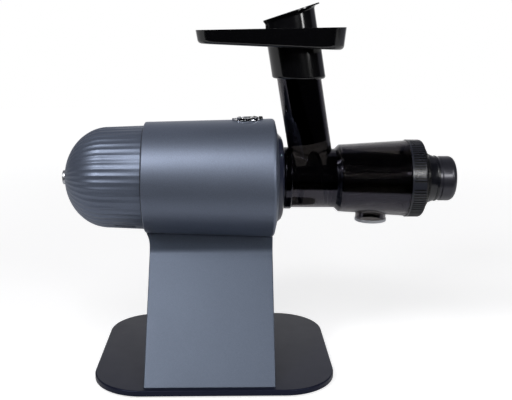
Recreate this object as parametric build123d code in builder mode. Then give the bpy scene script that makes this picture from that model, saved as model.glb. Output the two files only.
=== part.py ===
"""Horizontal cold press juicer, millimetres, +Z up.

The origin is on the table under the middle of the machine. +X runs along the drive axis
from the motor to the pressure dial, and Z = 0 is the underside of the rubber feet.
"""

import os
from math import acos, atan2, cos, degrees, hypot, pi, radians, sin, sqrt, tan

from build123d import *

os.makedirs("parts", exist_ok=True)

# ---------------------------------------------------------------------------
# Driving dimensions
# ---------------------------------------------------------------------------

# Lengths along the drive axis, rear to front
nut_proud = 2.3
dome_length = 93.1
shell_length = 148.5
cover_depth = 10.6
collar_gap = 1.4
collar_length = 8.0
neck_length = 50.9
shoulder_length = 5.0
barrel_length = 78.1
ring_length = 24.9
dial_collar_length = 12.0
dial_length = 20.6

# Base, feet and the height of the drive axis
axis_height = 220.0
foot_height = 2.4
foot_radius = 11.0
foot_inset = 38.0
plate_length = 272.0
plate_width = 236.0
plate_corner = 58.0
plate_thickness = 6.3
plate_edge = 1.5
plate_lead = 4.8

# Stand
stand_length = 143.6
stand_setback = 0.7
stand_wall = 3.0
stand_neck_half = 17.0
stand_foot_half = 110.5
stand_neck_drop = 84.0
stand_bend = 16.0
stand_crown = 4.5
stand_edge = 1.5
stand_flare = 3.4
stand_flare_height = 13.0
stand_boss_radius = 5.5
stand_boss_inset = 15.0
stand_boss_half_span = 82.0
saddle_gap = 0.25
base_screw_radius = 2.0
base_screw_head = 4.0
base_screw_length = 18.0
saddle_screw_radius = 2.5
saddle_screw_head = 4.5
saddle_screw_pitch = 50.0

# Power inlet in the stand's rear end wall
inlet_height = 31.0
inlet_flange_length = 50.0
inlet_flange_height = 24.0
inlet_flange_thickness = 2.0
inlet_body_length = 27.0
inlet_body_height = 19.5
inlet_body_depth = 22.0
inlet_wall = 1.6
inlet_pin_length = 14.0
inlet_screw_pitch = 40.0
inlet_screw_radius = 1.5

# Body shell and rear dome
shell_rear_radius = 64.4
shell_front_radius = 69.0
shell_wall = 3.0
shell_front_round = 4.0
shell_rear_round = 1.4
shell_crown = 3.9
shell_crown_radius = 52.0
shell_mouth_radius = 46.0
shell_lip_radius = 57.0
belly_vent_length = 34.0
belly_vent_first = 21.0
belly_vent_pitch = 5.0
belly_vent_count = 4
dome_seam_radius = 60.2
dome_shoulder_radius = 58.4
dome_skirt_length = 42.0
dome_wall = 4.0
dome_lip_length = 3.5
dome_seal_thickness = 1.0
flute_count = 48
flute_width = 5.6
flute_depth = 0.9
flute_end_gap = 6.0
vent_length = 24.0
vent_width = 2.6
vent_spread = 5
nut_radius = 8.3
nut_recess = 1.0
tie_rod_radius = 3.0

# Front cover and the drum's bayonet
cover_base_radius = 52.0
cover_step_radius = 48.0
cover_face_radius = 44.0
cover_mouth_radius = 37.6
bayonet_bore = 34.4
bayonet_groove = 38.6
bayonet_clearance = 0.4
bayonet_lug_radius = 38.0
bayonet_lug_angle = 24.0
bayonet_twist = 30.0
bayonet_count = 3
cover_screw_circle = 41.8
cover_screw_radius = 1.5

# Motor
stator_radius = 50.0
stator_bore = 27.0
stator_length = 60.0
stator_slots = 24
slot_inner = 30.0
slot_outer = 41.0
slot_width = 3.6
winding_length = 8.5
shield_thickness = 6.0
shield_wall = 3.0
shield_gap = 1.0
rotor_gap = 0.6
motor_bolt_circle = 45.5
motor_bolt_radius = 1.9
motor_bolt_count = 4
shaft_radius = 6.0
shaft_nose_radius = 4.5
running_clearance = 0.05
bush_radius = 10.0
fan_radius = 36.0
fan_depth = 15.0
fan_blades = 9
fan_gap = 5.0
bracket_leg_circle = 42.0
bracket_leg_radius = 3.0

# Two-stage planetary gearbox
gear_module = 1.4
sun_teeth = 12
planet_teeth = 21
ring_teeth = 54
planet_count = 3
pressure_angle = 20.0
addendum = 0.85
dedendum = 1.1
tooth_thinning = 0.4
output_gear_width = 11.0
input_gear_width = 10.0
gear_side_gap = 0.5
carrier_radius = 32.0
output_carrier_thickness = 6.0
input_carrier_thickness = 5.0
planet_pin_radius = 3.0
ring_gear_radius = 44.0
case_radius = 47.5
case_plate_thickness = 6.0
case_flange_radius = 58.0
case_rear_flange = 4.0
output_shaft_radius = 8.0
output_bush_radius = 11.0
hex_across_flats = 12.0
hex_reach = 18.0
shaft_seal_radius = 13.0
shaft_seal_thickness = 2.5

# Drum, chute and spout
neck_radius = 34.5
collar_radius = 36.2
barrel_rear_radius = 39.3
barrel_front_radius = 44.5
drum_wall = 2.8
drum_lip_thickness = 4.5
tail_radius = 34.0
tail_wall = 3.5
tail_gap = 2.1
drum_back_wall = 3.0
mouth_length = 8.3
mouth_radius = 42.4
mouth_bore = 40.0
mouth_lug_radius = 43.5
mouth_lug_angle = 30.0
mouth_lug_count = 4
chute_setback = 23.1
chute_lean = 9.9
chute_radius = 25.0
chute_bore = 22.3
chute_cup_radius = 27.5
chute_cup_start = 127.5
chute_top = 146.0
spout_station = 40.0
spout_radius = 17.9
spout_bore = 15.5
spout_drop = 50.8
spout_ring_radius = 18.5
spout_ring_height = 3.3
spout_ring_seat = 17.2

# Auger and strainer
auger_rear_radius = 31.0
auger_front_radius = 24.9
auger_core_rear = 13.0
auger_core_front = 20.5
auger_neck_turns = 2
auger_strainer_turns = 3
auger_flight_thickness = 3.4
auger_boss_radius = 12.0
auger_boss_clearance = 0.4
auger_nose_radius = 6.5
auger_nose_length = 24.0
hex_socket_clearance = 0.1
strainer_gap = 0.6
strainer_wall = 2.2
strainer_slots = 24
strainer_slot_width = 1.3
strainer_slot_length = 17.0
strainer_flange = 3.5

# Cap ring, dial and pressure nozzle
cap_radius = 45.4
cap_wall = 1.6
cap_corner_radius = 41.8
cap_face_radius = 30.6
cap_round_length = 3.6
cap_round_start = 15.0
cap_band = 2.3
cap_rib_count = 84
cap_pad_count = 4
cap_groove_width = 1.9
cap_groove_depth = 0.95
cap_pad_angle = 1.0
cap_hub_bore = 25.0
dial_collar_rear_radius = 29.8
dial_collar_front_radius = 26.8
dial_collar_bore = 21.2
dial_spigot_radius = 23.4
dial_spigot_length = 9.0
dial_radius = 26.3
dial_corner = 7.0
dial_groove_radius = 25.2
dial_groove_length = 2.4
dial_hole_radius = 11.0
dial_face_thickness = 10.0
nozzle_length = 25.0
nozzle_setback = 8.0
nozzle_mouth_radius = 15.5
nozzle_throat_radius = 11.0
nozzle_cone_length = 13.0
nozzle_key_width = 4.0
nozzle_key_height = 1.6
turning_clearance = 0.3

# Tray
tray_rear_reach = 136.7
tray_front_reach = 29.6
tray_front_width = 118.0
tray_rear_width = 92.0
tray_front_corner = 38.0
tray_rear_corner = 25.0
tray_rim_rear = 168.0
tray_rim_front = 172.6
tray_floor_rear = 153.8
tray_floor_front = 147.8
tray_draft = 2.6
tray_wall = 2.6
tray_edge = 5.0
tray_collar_radius = 30.0
tray_collar_bottom = 115.4
tray_collar_round = 3.0
tray_neck_radius = 27.0
tray_neck_top = 162.5
tray_fit = 0.3

# Pusher
pusher_radius = 21.8
pusher_start = 43.1
pusher_head_radius = 28.8
pusher_top = 191.5
pusher_wall = 2.4
pusher_floor = 3.0
pusher_lip_slope = 18.5
pusher_lip_radius = 33.0
pusher_lip_offset = 2.1
pusher_lip_thickness = 1.7
pusher_lip_cove = 4.0
pusher_seat_gap = 0.3

# Switch group on top of the body
switch_setback = 30.85
switch_plate_length = 35.8
switch_plate_width = 24.0
switch_plate_rise = 1.2
bezel_length = 25.0
bezel_width = 19.4
bezel_rise = 3.2
switch_opening_length = 22.4
switch_opening_width = 16.4
switch_block_depth = 12.0
switch_block_wall = 1.1
switch_fit = 0.25
rocker_length = 18.4
rocker_width = 13.2
rocker_tilt = 9.0
rocker_pivot_drop = 3.0
rocker_end_rise = 6.4
rocker_dish = 2.2
rocker_pin_radius = 1.3
button_offset = 15.2
button_radius = 2.4
button_rise = 2.8
button_flange_radius = 3.4
spring_wire = 0.5
spring_radius = 2.3
spring_turns = 5
lens_rise = 0.5
board_length = 42.0
board_width = 20.0
board_thickness = 1.6

# Run capacitor inside the stand
capacitor_radius = 15.0
capacitor_length = 60.0
capacitor_offset = 28.0

# ---------------------------------------------------------------------------
# Stations and heights worked out from the driving dimensions
# ---------------------------------------------------------------------------

front_length = (cover_depth + collar_gap + collar_length + neck_length + shoulder_length
                + barrel_length + ring_length + dial_collar_length + dial_length)
total_length = nut_proud + dome_length + shell_length + front_length
pole_x = -total_length / 2 + nut_proud
seam_x = pole_x + dome_length
rim_x = seam_x + shell_length
cover_x = rim_x + cover_depth
collar_x = cover_x + collar_gap
neck_x = collar_x + collar_length
shoulder_x = neck_x + neck_length
barrel_x = shoulder_x + shoulder_length
ring_x = barrel_x + barrel_length
dial_collar_x = ring_x + ring_length
dial_x = dial_collar_x + dial_collar_length
front_x = dial_x + dial_length

base_top = foot_height + plate_thickness
stand_front_x = rim_x - stand_setback
stand_rear_x = stand_front_x - stand_length
stand_x = (stand_front_x + stand_rear_x) / 2
plate_x = stand_x + plate_lead

drive_axis = Axis((0, 0, axis_height), (1, 0, 0))
side_plane = Plane(origin=(0, 0, axis_height), x_dir=(1, 0, 0), z_dir=(0, -1, 0))


def across(x, y=0.0, z=0.0):
    """Plane square to the drive axis at station x, y to the side and z above the axis."""
    return Plane(origin=(x, y, axis_height + z), x_dir=(0, 1, 0), z_dir=(1, 0, 0))


def shell_radius(x):
    """Outside radius of the tapered body shell at station x."""
    return shell_rear_radius + (shell_front_radius - shell_rear_radius) * (x - seam_x) / shell_length


def barrel_radius(x):
    """Outside radius of the tapered drum barrel at station x."""
    return barrel_rear_radius + (barrel_front_radius - barrel_rear_radius) * (x - barrel_x) / barrel_length


def polar_point(radius, angle):
    """Point at radius and angle (degrees) in a sketch plane."""
    return (radius * cos(radians(angle)), radius * sin(radians(angle)))


# ---------------------------------------------------------------------------
# Base plate, feet and stand
# ---------------------------------------------------------------------------

stand_run = stand_foot_half - stand_neck_half
stand_drop = axis_height - stand_neck_drop - base_top
boss_points = [
    (stand_x + side * (stand_length / 2 - stand_boss_inset), half)
    for side in (-1, 1)
    for half in (-stand_boss_half_span, stand_boss_half_span)
]

with BuildPart() as base_plate:
    with BuildSketch(Plane.XY.offset(foot_height)):
        with Locations((plate_x, 0)):
            RectangleRounded(plate_length, plate_width, plate_corner)
    extrude(amount=plate_thickness)
    fillet(base_plate.faces().sort_by(Axis.Z)[-1].edges(), radius=plate_edge)
    with Locations(*[Plane(origin=(x, y, foot_height), z_dir=(0, 0, -1)) for x, y in boss_points]):
        CounterSinkHole(base_screw_radius + turning_clearance, base_screw_head + turning_clearance)
base_plate.part.label = "base_plate"
export_step(base_plate.part, "parts/base_plate.step")

with BuildPart() as rubber_feet:
    with BuildSketch():
        with Locations((plate_x, 0)):
            with GridLocations(plate_length - 2 * foot_inset, plate_width - 2 * foot_inset, 2, 2):
                Circle(foot_radius)
    extrude(amount=foot_height)
    chamfer(rubber_feet.edges().group_by(Axis.Z)[0], length=foot_height / 3)
rubber_feet.part.label = "rubber_feet"
export_step(rubber_feet.part, "parts/rubber_feet.step")


def stand_outline(inset, top, bend):
    """Points of the stand's A-shaped section, inset from its outside, up to the height top."""
    shift = inset * hypot(stand_run, stand_drop) / stand_drop
    foot = stand_foot_half - shift
    neck = stand_neck_half - inset
    bend_height = base_top + (foot - neck) * stand_drop / stand_run
    return [(foot, base_top), (neck, bend_height), (neck, top), (-neck, top),
            (-neck, bend_height), (-foot, base_top)]


stand_cavity_top = axis_height - shell_radius(stand_front_x) - stand_crown
with BuildPart() as stand_cavity:
    with BuildSketch(Plane(origin=(stand_rear_x + stand_wall, 0, 0), x_dir=(0, 1, 0), z_dir=(1, 0, 0))):
        with BuildLine():
            Polyline(*stand_outline(stand_wall, stand_cavity_top, stand_bend), close=True)
        inside = make_face()
        fillet(inside.vertices().group_by(Axis.Y)[1], radius=stand_bend + stand_wall)
    extrude(amount=stand_length - 2 * stand_wall)
    with BuildSketch(Plane.XY.offset(base_top)):
        with Locations(*boss_points):
            Circle(stand_boss_radius)
    extrude(amount=stand_drop, mode=Mode.SUBTRACT)

with BuildPart() as stand_shell:
    with BuildSketch(Plane(origin=(stand_rear_x, 0, 0), x_dir=(0, 1, 0), z_dir=(1, 0, 0))):
        with BuildLine():
            stand_peak = axis_height - shell_rear_radius + stand_crown
            Polyline(*stand_outline(0, stand_peak, stand_bend), close=True)
        outside = make_face()
        fillet(outside.vertices().group_by(Axis.Y)[1], radius=stand_bend)
    extrude(amount=stand_length)
    end_edges = stand_shell.faces().filter_by(Axis.X).edges()
    fillet(end_edges.filter_by(lambda edge: edge.center().Z > base_top + stand_edge), radius=stand_edge)
    add(stand_cavity.part, mode=Mode.SUBTRACT)
    # The rear face of the neck flares out to reach under the end of the body
    with BuildSketch(side_plane):
        with BuildLine():
            flare_foot = (stand_rear_x, -shell_rear_radius - stand_flare_height)
            flare_lip = (stand_rear_x - stand_flare, -shell_rear_radius + 1)
            TangentArc(flare_foot, flare_lip, tangent=(0, 1))
            Polyline(flare_lip, (stand_rear_x + stand_wall, flare_lip[1]),
                     (stand_rear_x + stand_wall, flare_foot[1]), flare_foot)
        make_face()
    extrude(amount=stand_neck_half - stand_edge, both=True)
    with BuildSketch(side_plane):
        with BuildLine():
            Polyline((seam_x, 0), (rim_x, 0), (rim_x, shell_front_radius + saddle_gap),
                     (seam_x, shell_rear_radius + saddle_gap), close=True)
        make_face()
    revolve(axis=drive_axis, mode=Mode.SUBTRACT)
    with BuildSketch(Plane.XY.offset(base_top)):
        with Locations(*boss_points):
            Circle(base_screw_radius)
    extrude(amount=base_screw_length, mode=Mode.SUBTRACT)
    with BuildSketch(Plane.XY.offset(stand_cavity_top - 1)):
        with GridLocations(saddle_screw_pitch, 1, 3, 1):
            with Locations((stand_x, 0)):
                Circle(saddle_screw_radius + saddle_gap)
    extrude(amount=axis_height - shell_rear_radius - stand_cavity_top + 1, mode=Mode.SUBTRACT)
    with BuildSketch(Plane(origin=(stand_rear_x, 0, inlet_height), x_dir=(0, 1, 0), z_dir=(1, 0, 0))):
        Rectangle(inlet_body_length + 2 * switch_fit, inlet_body_height + 2 * switch_fit)
        with GridLocations(inlet_screw_pitch, 1, 2, 1):
            Circle(inlet_screw_radius)
    extrude(amount=stand_wall, mode=Mode.SUBTRACT)
stand_shell.part.label = "stand_shell"
export_step(stand_shell.part, "parts/stand_shell.step")

with BuildPart() as base_screws:
    for x, y in boss_points:
        with BuildSketch(Plane(origin=(x, y, 0), x_dir=(1, 0, 0), z_dir=(0, -1, 0))):
            with BuildLine():
                Polyline((0, foot_height), (base_screw_head, foot_height),
                         (base_screw_radius, foot_height + base_screw_head - base_screw_radius),
                         (base_screw_radius, base_top + base_screw_length - 1),
                         (0, base_top + base_screw_length - 1), close=True)
            make_face()
        revolve(axis=Axis((x, y, 0), (0, 0, 1)))
base_screws.part.label = "base_screws"
export_step(base_screws.part, "parts/base_screws.step")

with BuildPart() as saddle_screws:
    with BuildSketch(Plane.XY.offset(stand_cavity_top)):
        with GridLocations(saddle_screw_pitch, 1, 3, 1):
            with Locations((stand_x, 0)):
                Circle(saddle_screw_head)
    extrude(amount=-saddle_screw_radius)
    with BuildSketch(Plane.XY.offset(stand_cavity_top)):
        with GridLocations(saddle_screw_pitch, 1, 3, 1):
            with Locations((stand_x, 0)):
                Circle(saddle_screw_radius)
    extrude(amount=axis_height - shell_rear_radius + shell_wall - stand_cavity_top)
saddle_screws.part.label = "saddle_screws"
export_step(saddle_screws.part, "parts/saddle_screws.step")

inlet_face = Plane(origin=(stand_rear_x, 0, inlet_height), x_dir=(0, 1, 0), z_dir=(1, 0, 0))
with BuildPart() as power_inlet:
    with BuildSketch(inlet_face.offset(-inlet_flange_thickness)):
        RectangleRounded(inlet_flange_length, inlet_flange_height, inlet_flange_thickness)
    extrude(amount=inlet_flange_thickness)
    with BuildSketch(inlet_face):
        Rectangle(inlet_body_length, inlet_body_height)
    extrude(amount=inlet_body_depth)
    with BuildSketch(inlet_face.offset(-inlet_flange_thickness)):
        Rectangle(inlet_body_length - 2 * inlet_wall, inlet_body_height - 2 * inlet_wall)
    extrude(amount=inlet_body_depth, mode=Mode.SUBTRACT)
    with BuildSketch(inlet_face.offset(inlet_body_depth - inlet_pin_length)):
        with GridLocations(7.0, 1, 3, 1):
            Rectangle(2.0, 4.0)
    extrude(amount=inlet_pin_length)
    with BuildSketch(inlet_face.offset(-inlet_flange_thickness)):
        with GridLocations(inlet_screw_pitch, 1, 2, 1):
            Circle(inlet_screw_radius)
    extrude(amount=inlet_flange_thickness, mode=Mode.SUBTRACT)
power_inlet.part.label = "power_inlet"
export_step(power_inlet.part, "parts/power_inlet.step")

with BuildPart() as inlet_screws:
    with BuildSketch(inlet_face.offset(-inlet_flange_thickness)):
        with GridLocations(inlet_screw_pitch, 1, 2, 1):
            Circle(inlet_screw_radius)
    extrude(amount=inlet_flange_thickness + stand_wall)
    with BuildSketch(inlet_face.offset(-inlet_flange_thickness)):
        with GridLocations(inlet_screw_pitch, 1, 2, 1):
            Circle(2 * inlet_screw_radius)
    extrude(amount=-inlet_screw_radius)
inlet_screws.part.label = "inlet_screws"
export_step(inlet_screws.part, "parts/inlet_screws.step")

with BuildPart() as run_capacitor:
    with BuildSketch(Plane(origin=(stand_x - capacitor_length / 2, capacitor_offset,
                                   base_top + capacitor_radius), x_dir=(0, 1, 0), z_dir=(1, 0, 0))):
        Circle(capacitor_radius)
    extrude(amount=capacitor_length)
    fillet(run_capacitor.edges().filter_by(GeomType.CIRCLE), radius=capacitor_radius / 6)
run_capacitor.part.label = "run_capacitor"
export_step(run_capacitor.part, "parts/run_capacitor.step")

# ---------------------------------------------------------------------------
# Body shell, rear dome and front cover
# ---------------------------------------------------------------------------

switch_x = rim_x - switch_setback
switch_top = axis_height + shell_radius(switch_x)
button_x = switch_x + button_offset
lens_x = switch_x - button_offset
shell_seat_x = rim_x - 1.5
cap_outer_face = rim_x + shell_crown

# Air outlets: slots in the belly, on the far side from the controls
with BuildPart() as belly_vent:
    with BuildSketch(Plane.XY.offset(axis_height + shell_rear_radius - 2 * shell_wall)):
        with Locations((stand_front_x - belly_vent_length, 0)):
            SlotOverall(belly_vent_length, vent_width)
    extrude(amount=4 * shell_wall)
belly_turns = [180 + belly_vent_first + belly_vent_pitch * step for step in range(belly_vent_count)]

with BuildPart() as body_shell:
    with BuildSketch(side_plane):
        with BuildLine():
            Polyline((seam_x, shell_lip_radius), (seam_x, shell_rear_radius), (rim_x, shell_front_radius),
                     (cap_outer_face, shell_crown_radius), (cap_outer_face, shell_mouth_radius),
                     (shell_seat_x, shell_mouth_radius),
                     (shell_seat_x, shell_radius(shell_seat_x) - shell_wall),
                     (seam_x + shell_wall, shell_radius(seam_x + shell_wall) - shell_wall),
                     (seam_x + shell_wall, shell_lip_radius), close=True)
        make_face()
    revolve(axis=drive_axis)
    rims = body_shell.edges().filter_by(GeomType.CIRCLE).sort_by(SortBy.RADIUS)
    fillet(rims[-1], radius=shell_front_round)
    rear_rim = body_shell.faces().sort_by(Axis.X)[0].edges().sort_by(SortBy.RADIUS)[-1]
    fillet(rear_rim, radius=shell_rear_round)
    with BuildSketch(Plane.XY.offset(axis_height)):
        with Locations((switch_x, 0)):
            SlotOverall(switch_opening_length, switch_opening_width)
        with Locations((button_x, 0), (lens_x, 0)):
            Circle(button_radius + switch_fit)
    extrude(amount=shell_front_radius + 1, mode=Mode.SUBTRACT)
    with BuildSketch(Plane.XY.offset(axis_height)):
        with GridLocations(saddle_screw_pitch, 1, 3, 1):
            with Locations((stand_x, 0)):
                Circle(saddle_screw_radius)
    extrude(amount=-shell_front_radius - 1, mode=Mode.SUBTRACT)
    for turn in belly_turns:
        add(belly_vent.part.rotate(drive_axis, turn), mode=Mode.SUBTRACT)
body_shell.part.label = "body_shell"
export_step(body_shell.part, "parts/body_shell.step")

skirt_x = seam_x - dome_skirt_length
dome_end_x = seam_x - dome_seal_thickness
dome_depth = skirt_x - pole_x


def dome_outline(inset):
    """Half-section of the dome, inset from its outside: a tapered skirt and a quarter ellipse."""
    with BuildSketch(side_plane) as section:
        with BuildLine():
            start = (dome_end_x, dome_seam_radius - inset)
            bend = (skirt_x, dome_shoulder_radius - inset)
            Line((dome_end_x, 0), start)
            Line(start, bend)
            EllipticalCenterArc((skirt_x, 0), dome_depth - inset, dome_shoulder_radius - inset,
                                start_angle=90, arc_size=90)
            Line((pole_x + inset, 0), (dome_end_x, 0))
        make_face()
    return section.sketch


# The flutes are shallow round grooves laid along the skirt; they run out where the dome curves away
flute_radius = (flute_width ** 2 / 4 + flute_depth ** 2) / (2 * flute_depth)
flute_slope = atan2(dome_seam_radius - dome_shoulder_radius, dome_skirt_length)
flute_front_x = dome_end_x - flute_end_gap
flute_length = dome_skirt_length + dome_depth / 2
flute_start = Plane(
    origin=(flute_front_x, 0, axis_height + dome_seam_radius + flute_radius - flute_depth),
    z_dir=(-cos(flute_slope), 0, -sin(flute_slope)))
with BuildPart() as flute_cutter:
    with BuildSketch(flute_start):
        Circle(flute_radius)
    extrude(amount=flute_length)

# Air inlets: slots through the bottoms of the lowest flutes
with BuildPart() as dome_vent:
    with BuildSketch(Plane.XY.offset(axis_height + dome_shoulder_radius - 2 * dome_wall)):
        with Locations((skirt_x + dome_skirt_length / 2, 0)):
            SlotOverall(vent_length, vent_width)
    extrude(amount=4 * dome_wall)
dome_vent_turns = [180 + 360 / flute_count * (step + 0.5) for step in range(-vent_spread, vent_spread)]

with BuildPart() as rear_dome:
    revolve(dome_outline(0), axis=drive_axis)
    for number in range(flute_count):
        turned_flute = flute_cutter.part.rotate(drive_axis, 360 / flute_count * (number + 0.5))
        add(turned_flute, mode=Mode.SUBTRACT)
    revolve(dome_outline(dome_wall), axis=drive_axis, mode=Mode.SUBTRACT)
    for turn in dome_vent_turns:
        add(dome_vent.part.rotate(drive_axis, turn), mode=Mode.SUBTRACT)
    with BuildSketch(across(dome_end_x - dome_lip_length)):
        Circle(shell_lip_radius - turning_clearance)
        Circle(shell_lip_radius - dome_wall, mode=Mode.SUBTRACT)
    extrude(amount=2 * dome_lip_length)
    with BuildSketch(across(pole_x)):
        Circle(nut_radius + turning_clearance)
    extrude(amount=nut_recess, mode=Mode.SUBTRACT)
    with BuildSketch(across(pole_x)):
        Circle(tie_rod_radius + turning_clearance)
    extrude(amount=2 * dome_wall, mode=Mode.SUBTRACT)
rear_dome.part.label = "rear_dome"
export_step(rear_dome.part, "parts/rear_dome.step")

with BuildPart() as dome_seal:
    with BuildSketch(across(dome_end_x)):
        Circle(dome_seam_radius)
        Circle(shell_lip_radius, mode=Mode.SUBTRACT)
    extrude(amount=dome_seal_thickness)
dome_seal.part.label = "dome_seal"
export_step(dome_seal.part, "parts/dome_seal.step")

with BuildPart() as rear_cap_nut:
    with BuildSketch(across(pole_x - nut_proud)):
        Circle(nut_radius)
    extrude(amount=nut_proud + nut_recess)
    fillet(rear_cap_nut.faces().sort_by(Axis.X)[0].edges(), radius=nut_proud / 2)
rear_cap_nut.part.label = "rear_cap_nut"
export_step(rear_cap_nut.part, "parts/rear_cap_nut.step")

# Front cover: a raised ring round the socket that takes the drum's bayonet
groove_start = rim_x + 1.5
groove_end = rim_x + 6.5
lug_start = groove_start + bayonet_clearance
lug_end = groove_end - bayonet_clearance
with BuildPart() as front_cover:
    with BuildSketch(side_plane):
        with BuildLine():
            Polyline((shell_seat_x, bayonet_bore), (shell_seat_x, shell_mouth_radius - turning_clearance),
                     (cap_outer_face, shell_mouth_radius - turning_clearance),
                     (cap_outer_face, cover_base_radius),
                     (cover_x - 2.5, cover_step_radius), (cover_x - 0.7, cover_face_radius),
                     (cover_x, cover_mouth_radius), (cover_x, bayonet_bore), close=True)
        make_face()
    revolve(axis=drive_axis)
    with BuildSketch(across(groove_start)):
        Circle(bayonet_groove)
    extrude(amount=groove_end - groove_start, mode=Mode.SUBTRACT)
    for number in range(bayonet_count):
        slot_angle = 90 + bayonet_twist + number * 360 / bayonet_count
        with BuildSketch(across(groove_start)) as entry:
            Circle(bayonet_groove)
            half = bayonet_lug_angle / 2 + 2
            with BuildLine(mode=Mode.PRIVATE) as wedge_line:
                Polyline((0, 0), polar_point(2 * bayonet_groove, slot_angle - half),
                         polar_point(2 * bayonet_groove, slot_angle + half), close=True)
            make_face(wedge_line.edges(), mode=Mode.INTERSECT)
        extrude(amount=cover_x - groove_start, mode=Mode.SUBTRACT)
    with BuildSketch(across(shell_seat_x)):
        with PolarLocations(cover_screw_circle, 2 * bayonet_count, start_angle=20):
            Circle(cover_screw_radius)
    extrude(amount=cover_depth - 2, mode=Mode.SUBTRACT)
front_cover.part.label = "front_cover"
export_step(front_cover.part, "parts/front_cover.step")

case_front_x = shell_seat_x
with BuildPart() as cover_screws:
    with BuildSketch(across(case_front_x - case_plate_thickness)):
        with PolarLocations(cover_screw_circle, 2 * bayonet_count, start_angle=20):
            Circle(cover_screw_radius)
    extrude(amount=case_plate_thickness + cover_depth - 3)
cover_screws.part.label = "cover_screws"
export_step(cover_screws.part, "parts/cover_screws.step")

# ---------------------------------------------------------------------------
# Gearbox
# ---------------------------------------------------------------------------

planet_distance = gear_module * (sun_teeth + planet_teeth) / 2
planet_angles = [90 + 360 / planet_count * number for number in range(planet_count)]
output_carrier_x = case_front_x - case_plate_thickness - 1.0 - output_carrier_thickness
output_gear_x = output_carrier_x - gear_side_gap - output_gear_width
input_carrier_x = output_gear_x - gear_side_gap - input_carrier_thickness
input_gear_x = input_carrier_x - gear_side_gap - input_gear_width
front_shield_x = input_gear_x - 2.2 - shield_thickness


def flank_points(teeth, tip_radius, root_radius, thinning):
    """(radius, half-angle) points up one flank of an involute tooth."""
    pitch_radius = gear_module * teeth / 2
    base_radius = pitch_radius * cos(radians(pressure_angle))

    def involute(radius):
        angle = acos(min(1.0, base_radius / radius))
        return tan(angle) - angle

    half_at_pitch = pi / (2 * teeth) - thinning / (2 * pitch_radius)
    return [(radius, half_at_pitch + involute(pitch_radius) - involute(radius))
            for radius in (root_radius, (root_radius + pitch_radius) / 2, pitch_radius, tip_radius)]


def toothed_outline(teeth, tip_radius, root_radius, thinning, turn):
    """Points of a toothed outline with the middle of one tooth at the angle turn, in degrees."""
    flank = flank_points(teeth, tip_radius, root_radius, thinning)
    points = []
    for tooth in range(teeth):
        middle = radians(turn) + 2 * pi * tooth / teeth
        sides = [(radius, middle - half) for radius, half in flank]
        sides += [(radius, middle + half) for radius, half in reversed(flank)]
        points += [(radius * cos(angle), radius * sin(angle)) for radius, angle in sides]
    return points


def spur_gear(x, y, z, teeth, width, bore, turn):
    """A spur gear with its rear face at station x, centred y across and z above the axis."""
    pitch_radius = gear_module * teeth / 2
    outline = toothed_outline(teeth, pitch_radius + addendum * gear_module,
                              pitch_radius - dedendum * gear_module, tooth_thinning, turn)
    with BuildPart() as gear:
        with BuildSketch(across(x, y, z)):
            with BuildLine():
                Polyline(*outline, close=True)
            make_face()
            Circle(bore, mode=Mode.SUBTRACT)
        extrude(amount=width)
    return gear


with BuildPart() as gear_case:
    with BuildSketch(side_plane):
        with BuildLine():
            Polyline((front_shield_x + shield_thickness, ring_gear_radius),
                     (front_shield_x + shield_thickness, stator_radius),
                     (front_shield_x + shield_thickness + case_rear_flange, stator_radius),
                     (front_shield_x + shield_thickness + case_rear_flange, case_radius),
                     (case_front_x - case_plate_thickness, case_radius),
                     (case_front_x - case_plate_thickness, case_flange_radius),
                     (case_front_x, case_flange_radius),
                     (case_front_x, output_bush_radius),
                     (case_front_x - case_plate_thickness, output_bush_radius),
                     (case_front_x - case_plate_thickness, ring_gear_radius), close=True)
        make_face()
    revolve(axis=drive_axis)
    with BuildSketch(across(case_front_x - shaft_seal_thickness)):
        Circle(shaft_seal_radius)
    extrude(amount=shaft_seal_thickness, mode=Mode.SUBTRACT)
    with BuildSketch(across(case_front_x - case_plate_thickness)):
        with PolarLocations(cover_screw_circle, 2 * bayonet_count, start_angle=20):
            Circle(cover_screw_radius)
    extrude(amount=case_plate_thickness, mode=Mode.SUBTRACT)
gear_case.part.label = "gear_case"
export_step(gear_case.part, "parts/gear_case.step")

ring_pitch_radius = gear_module * ring_teeth / 2
ring_space = toothed_outline(ring_teeth, ring_pitch_radius + dedendum * gear_module,
                             ring_pitch_radius - addendum * gear_module, -tooth_thinning, 90)
with BuildPart() as ring_gear:
    with BuildSketch(across(front_shield_x + shield_thickness)):
        Circle(ring_gear_radius)
        with BuildLine():
            Polyline(*ring_space, close=True)
        make_face(mode=Mode.SUBTRACT)
    extrude(amount=case_front_x - case_plate_thickness - front_shield_x - shield_thickness)
ring_gear.part.label = "ring_gear"
export_step(ring_gear.part, "parts/ring_gear.step")

input_sun_gear = spur_gear(input_gear_x, 0, 0, sun_teeth, input_gear_width, shaft_nose_radius, 90)
input_sun_gear.part.label = "input_sun_gear"
export_step(input_sun_gear.part, "parts/input_sun_gear.step")

for stage, gear_x, width in (("input", input_gear_x, input_gear_width),
                             ("output", output_gear_x, output_gear_width)):
    for number, angle in enumerate(planet_angles, start=1):
        y, z = polar_point(planet_distance, angle)
        planet = spur_gear(gear_x, y, z, planet_teeth, width, planet_pin_radius + running_clearance, angle)
        planet.part.label = f"{stage}_planet_{number}"
        export_step(planet.part, f"parts/{stage}_planet_{number}.step")

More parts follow.
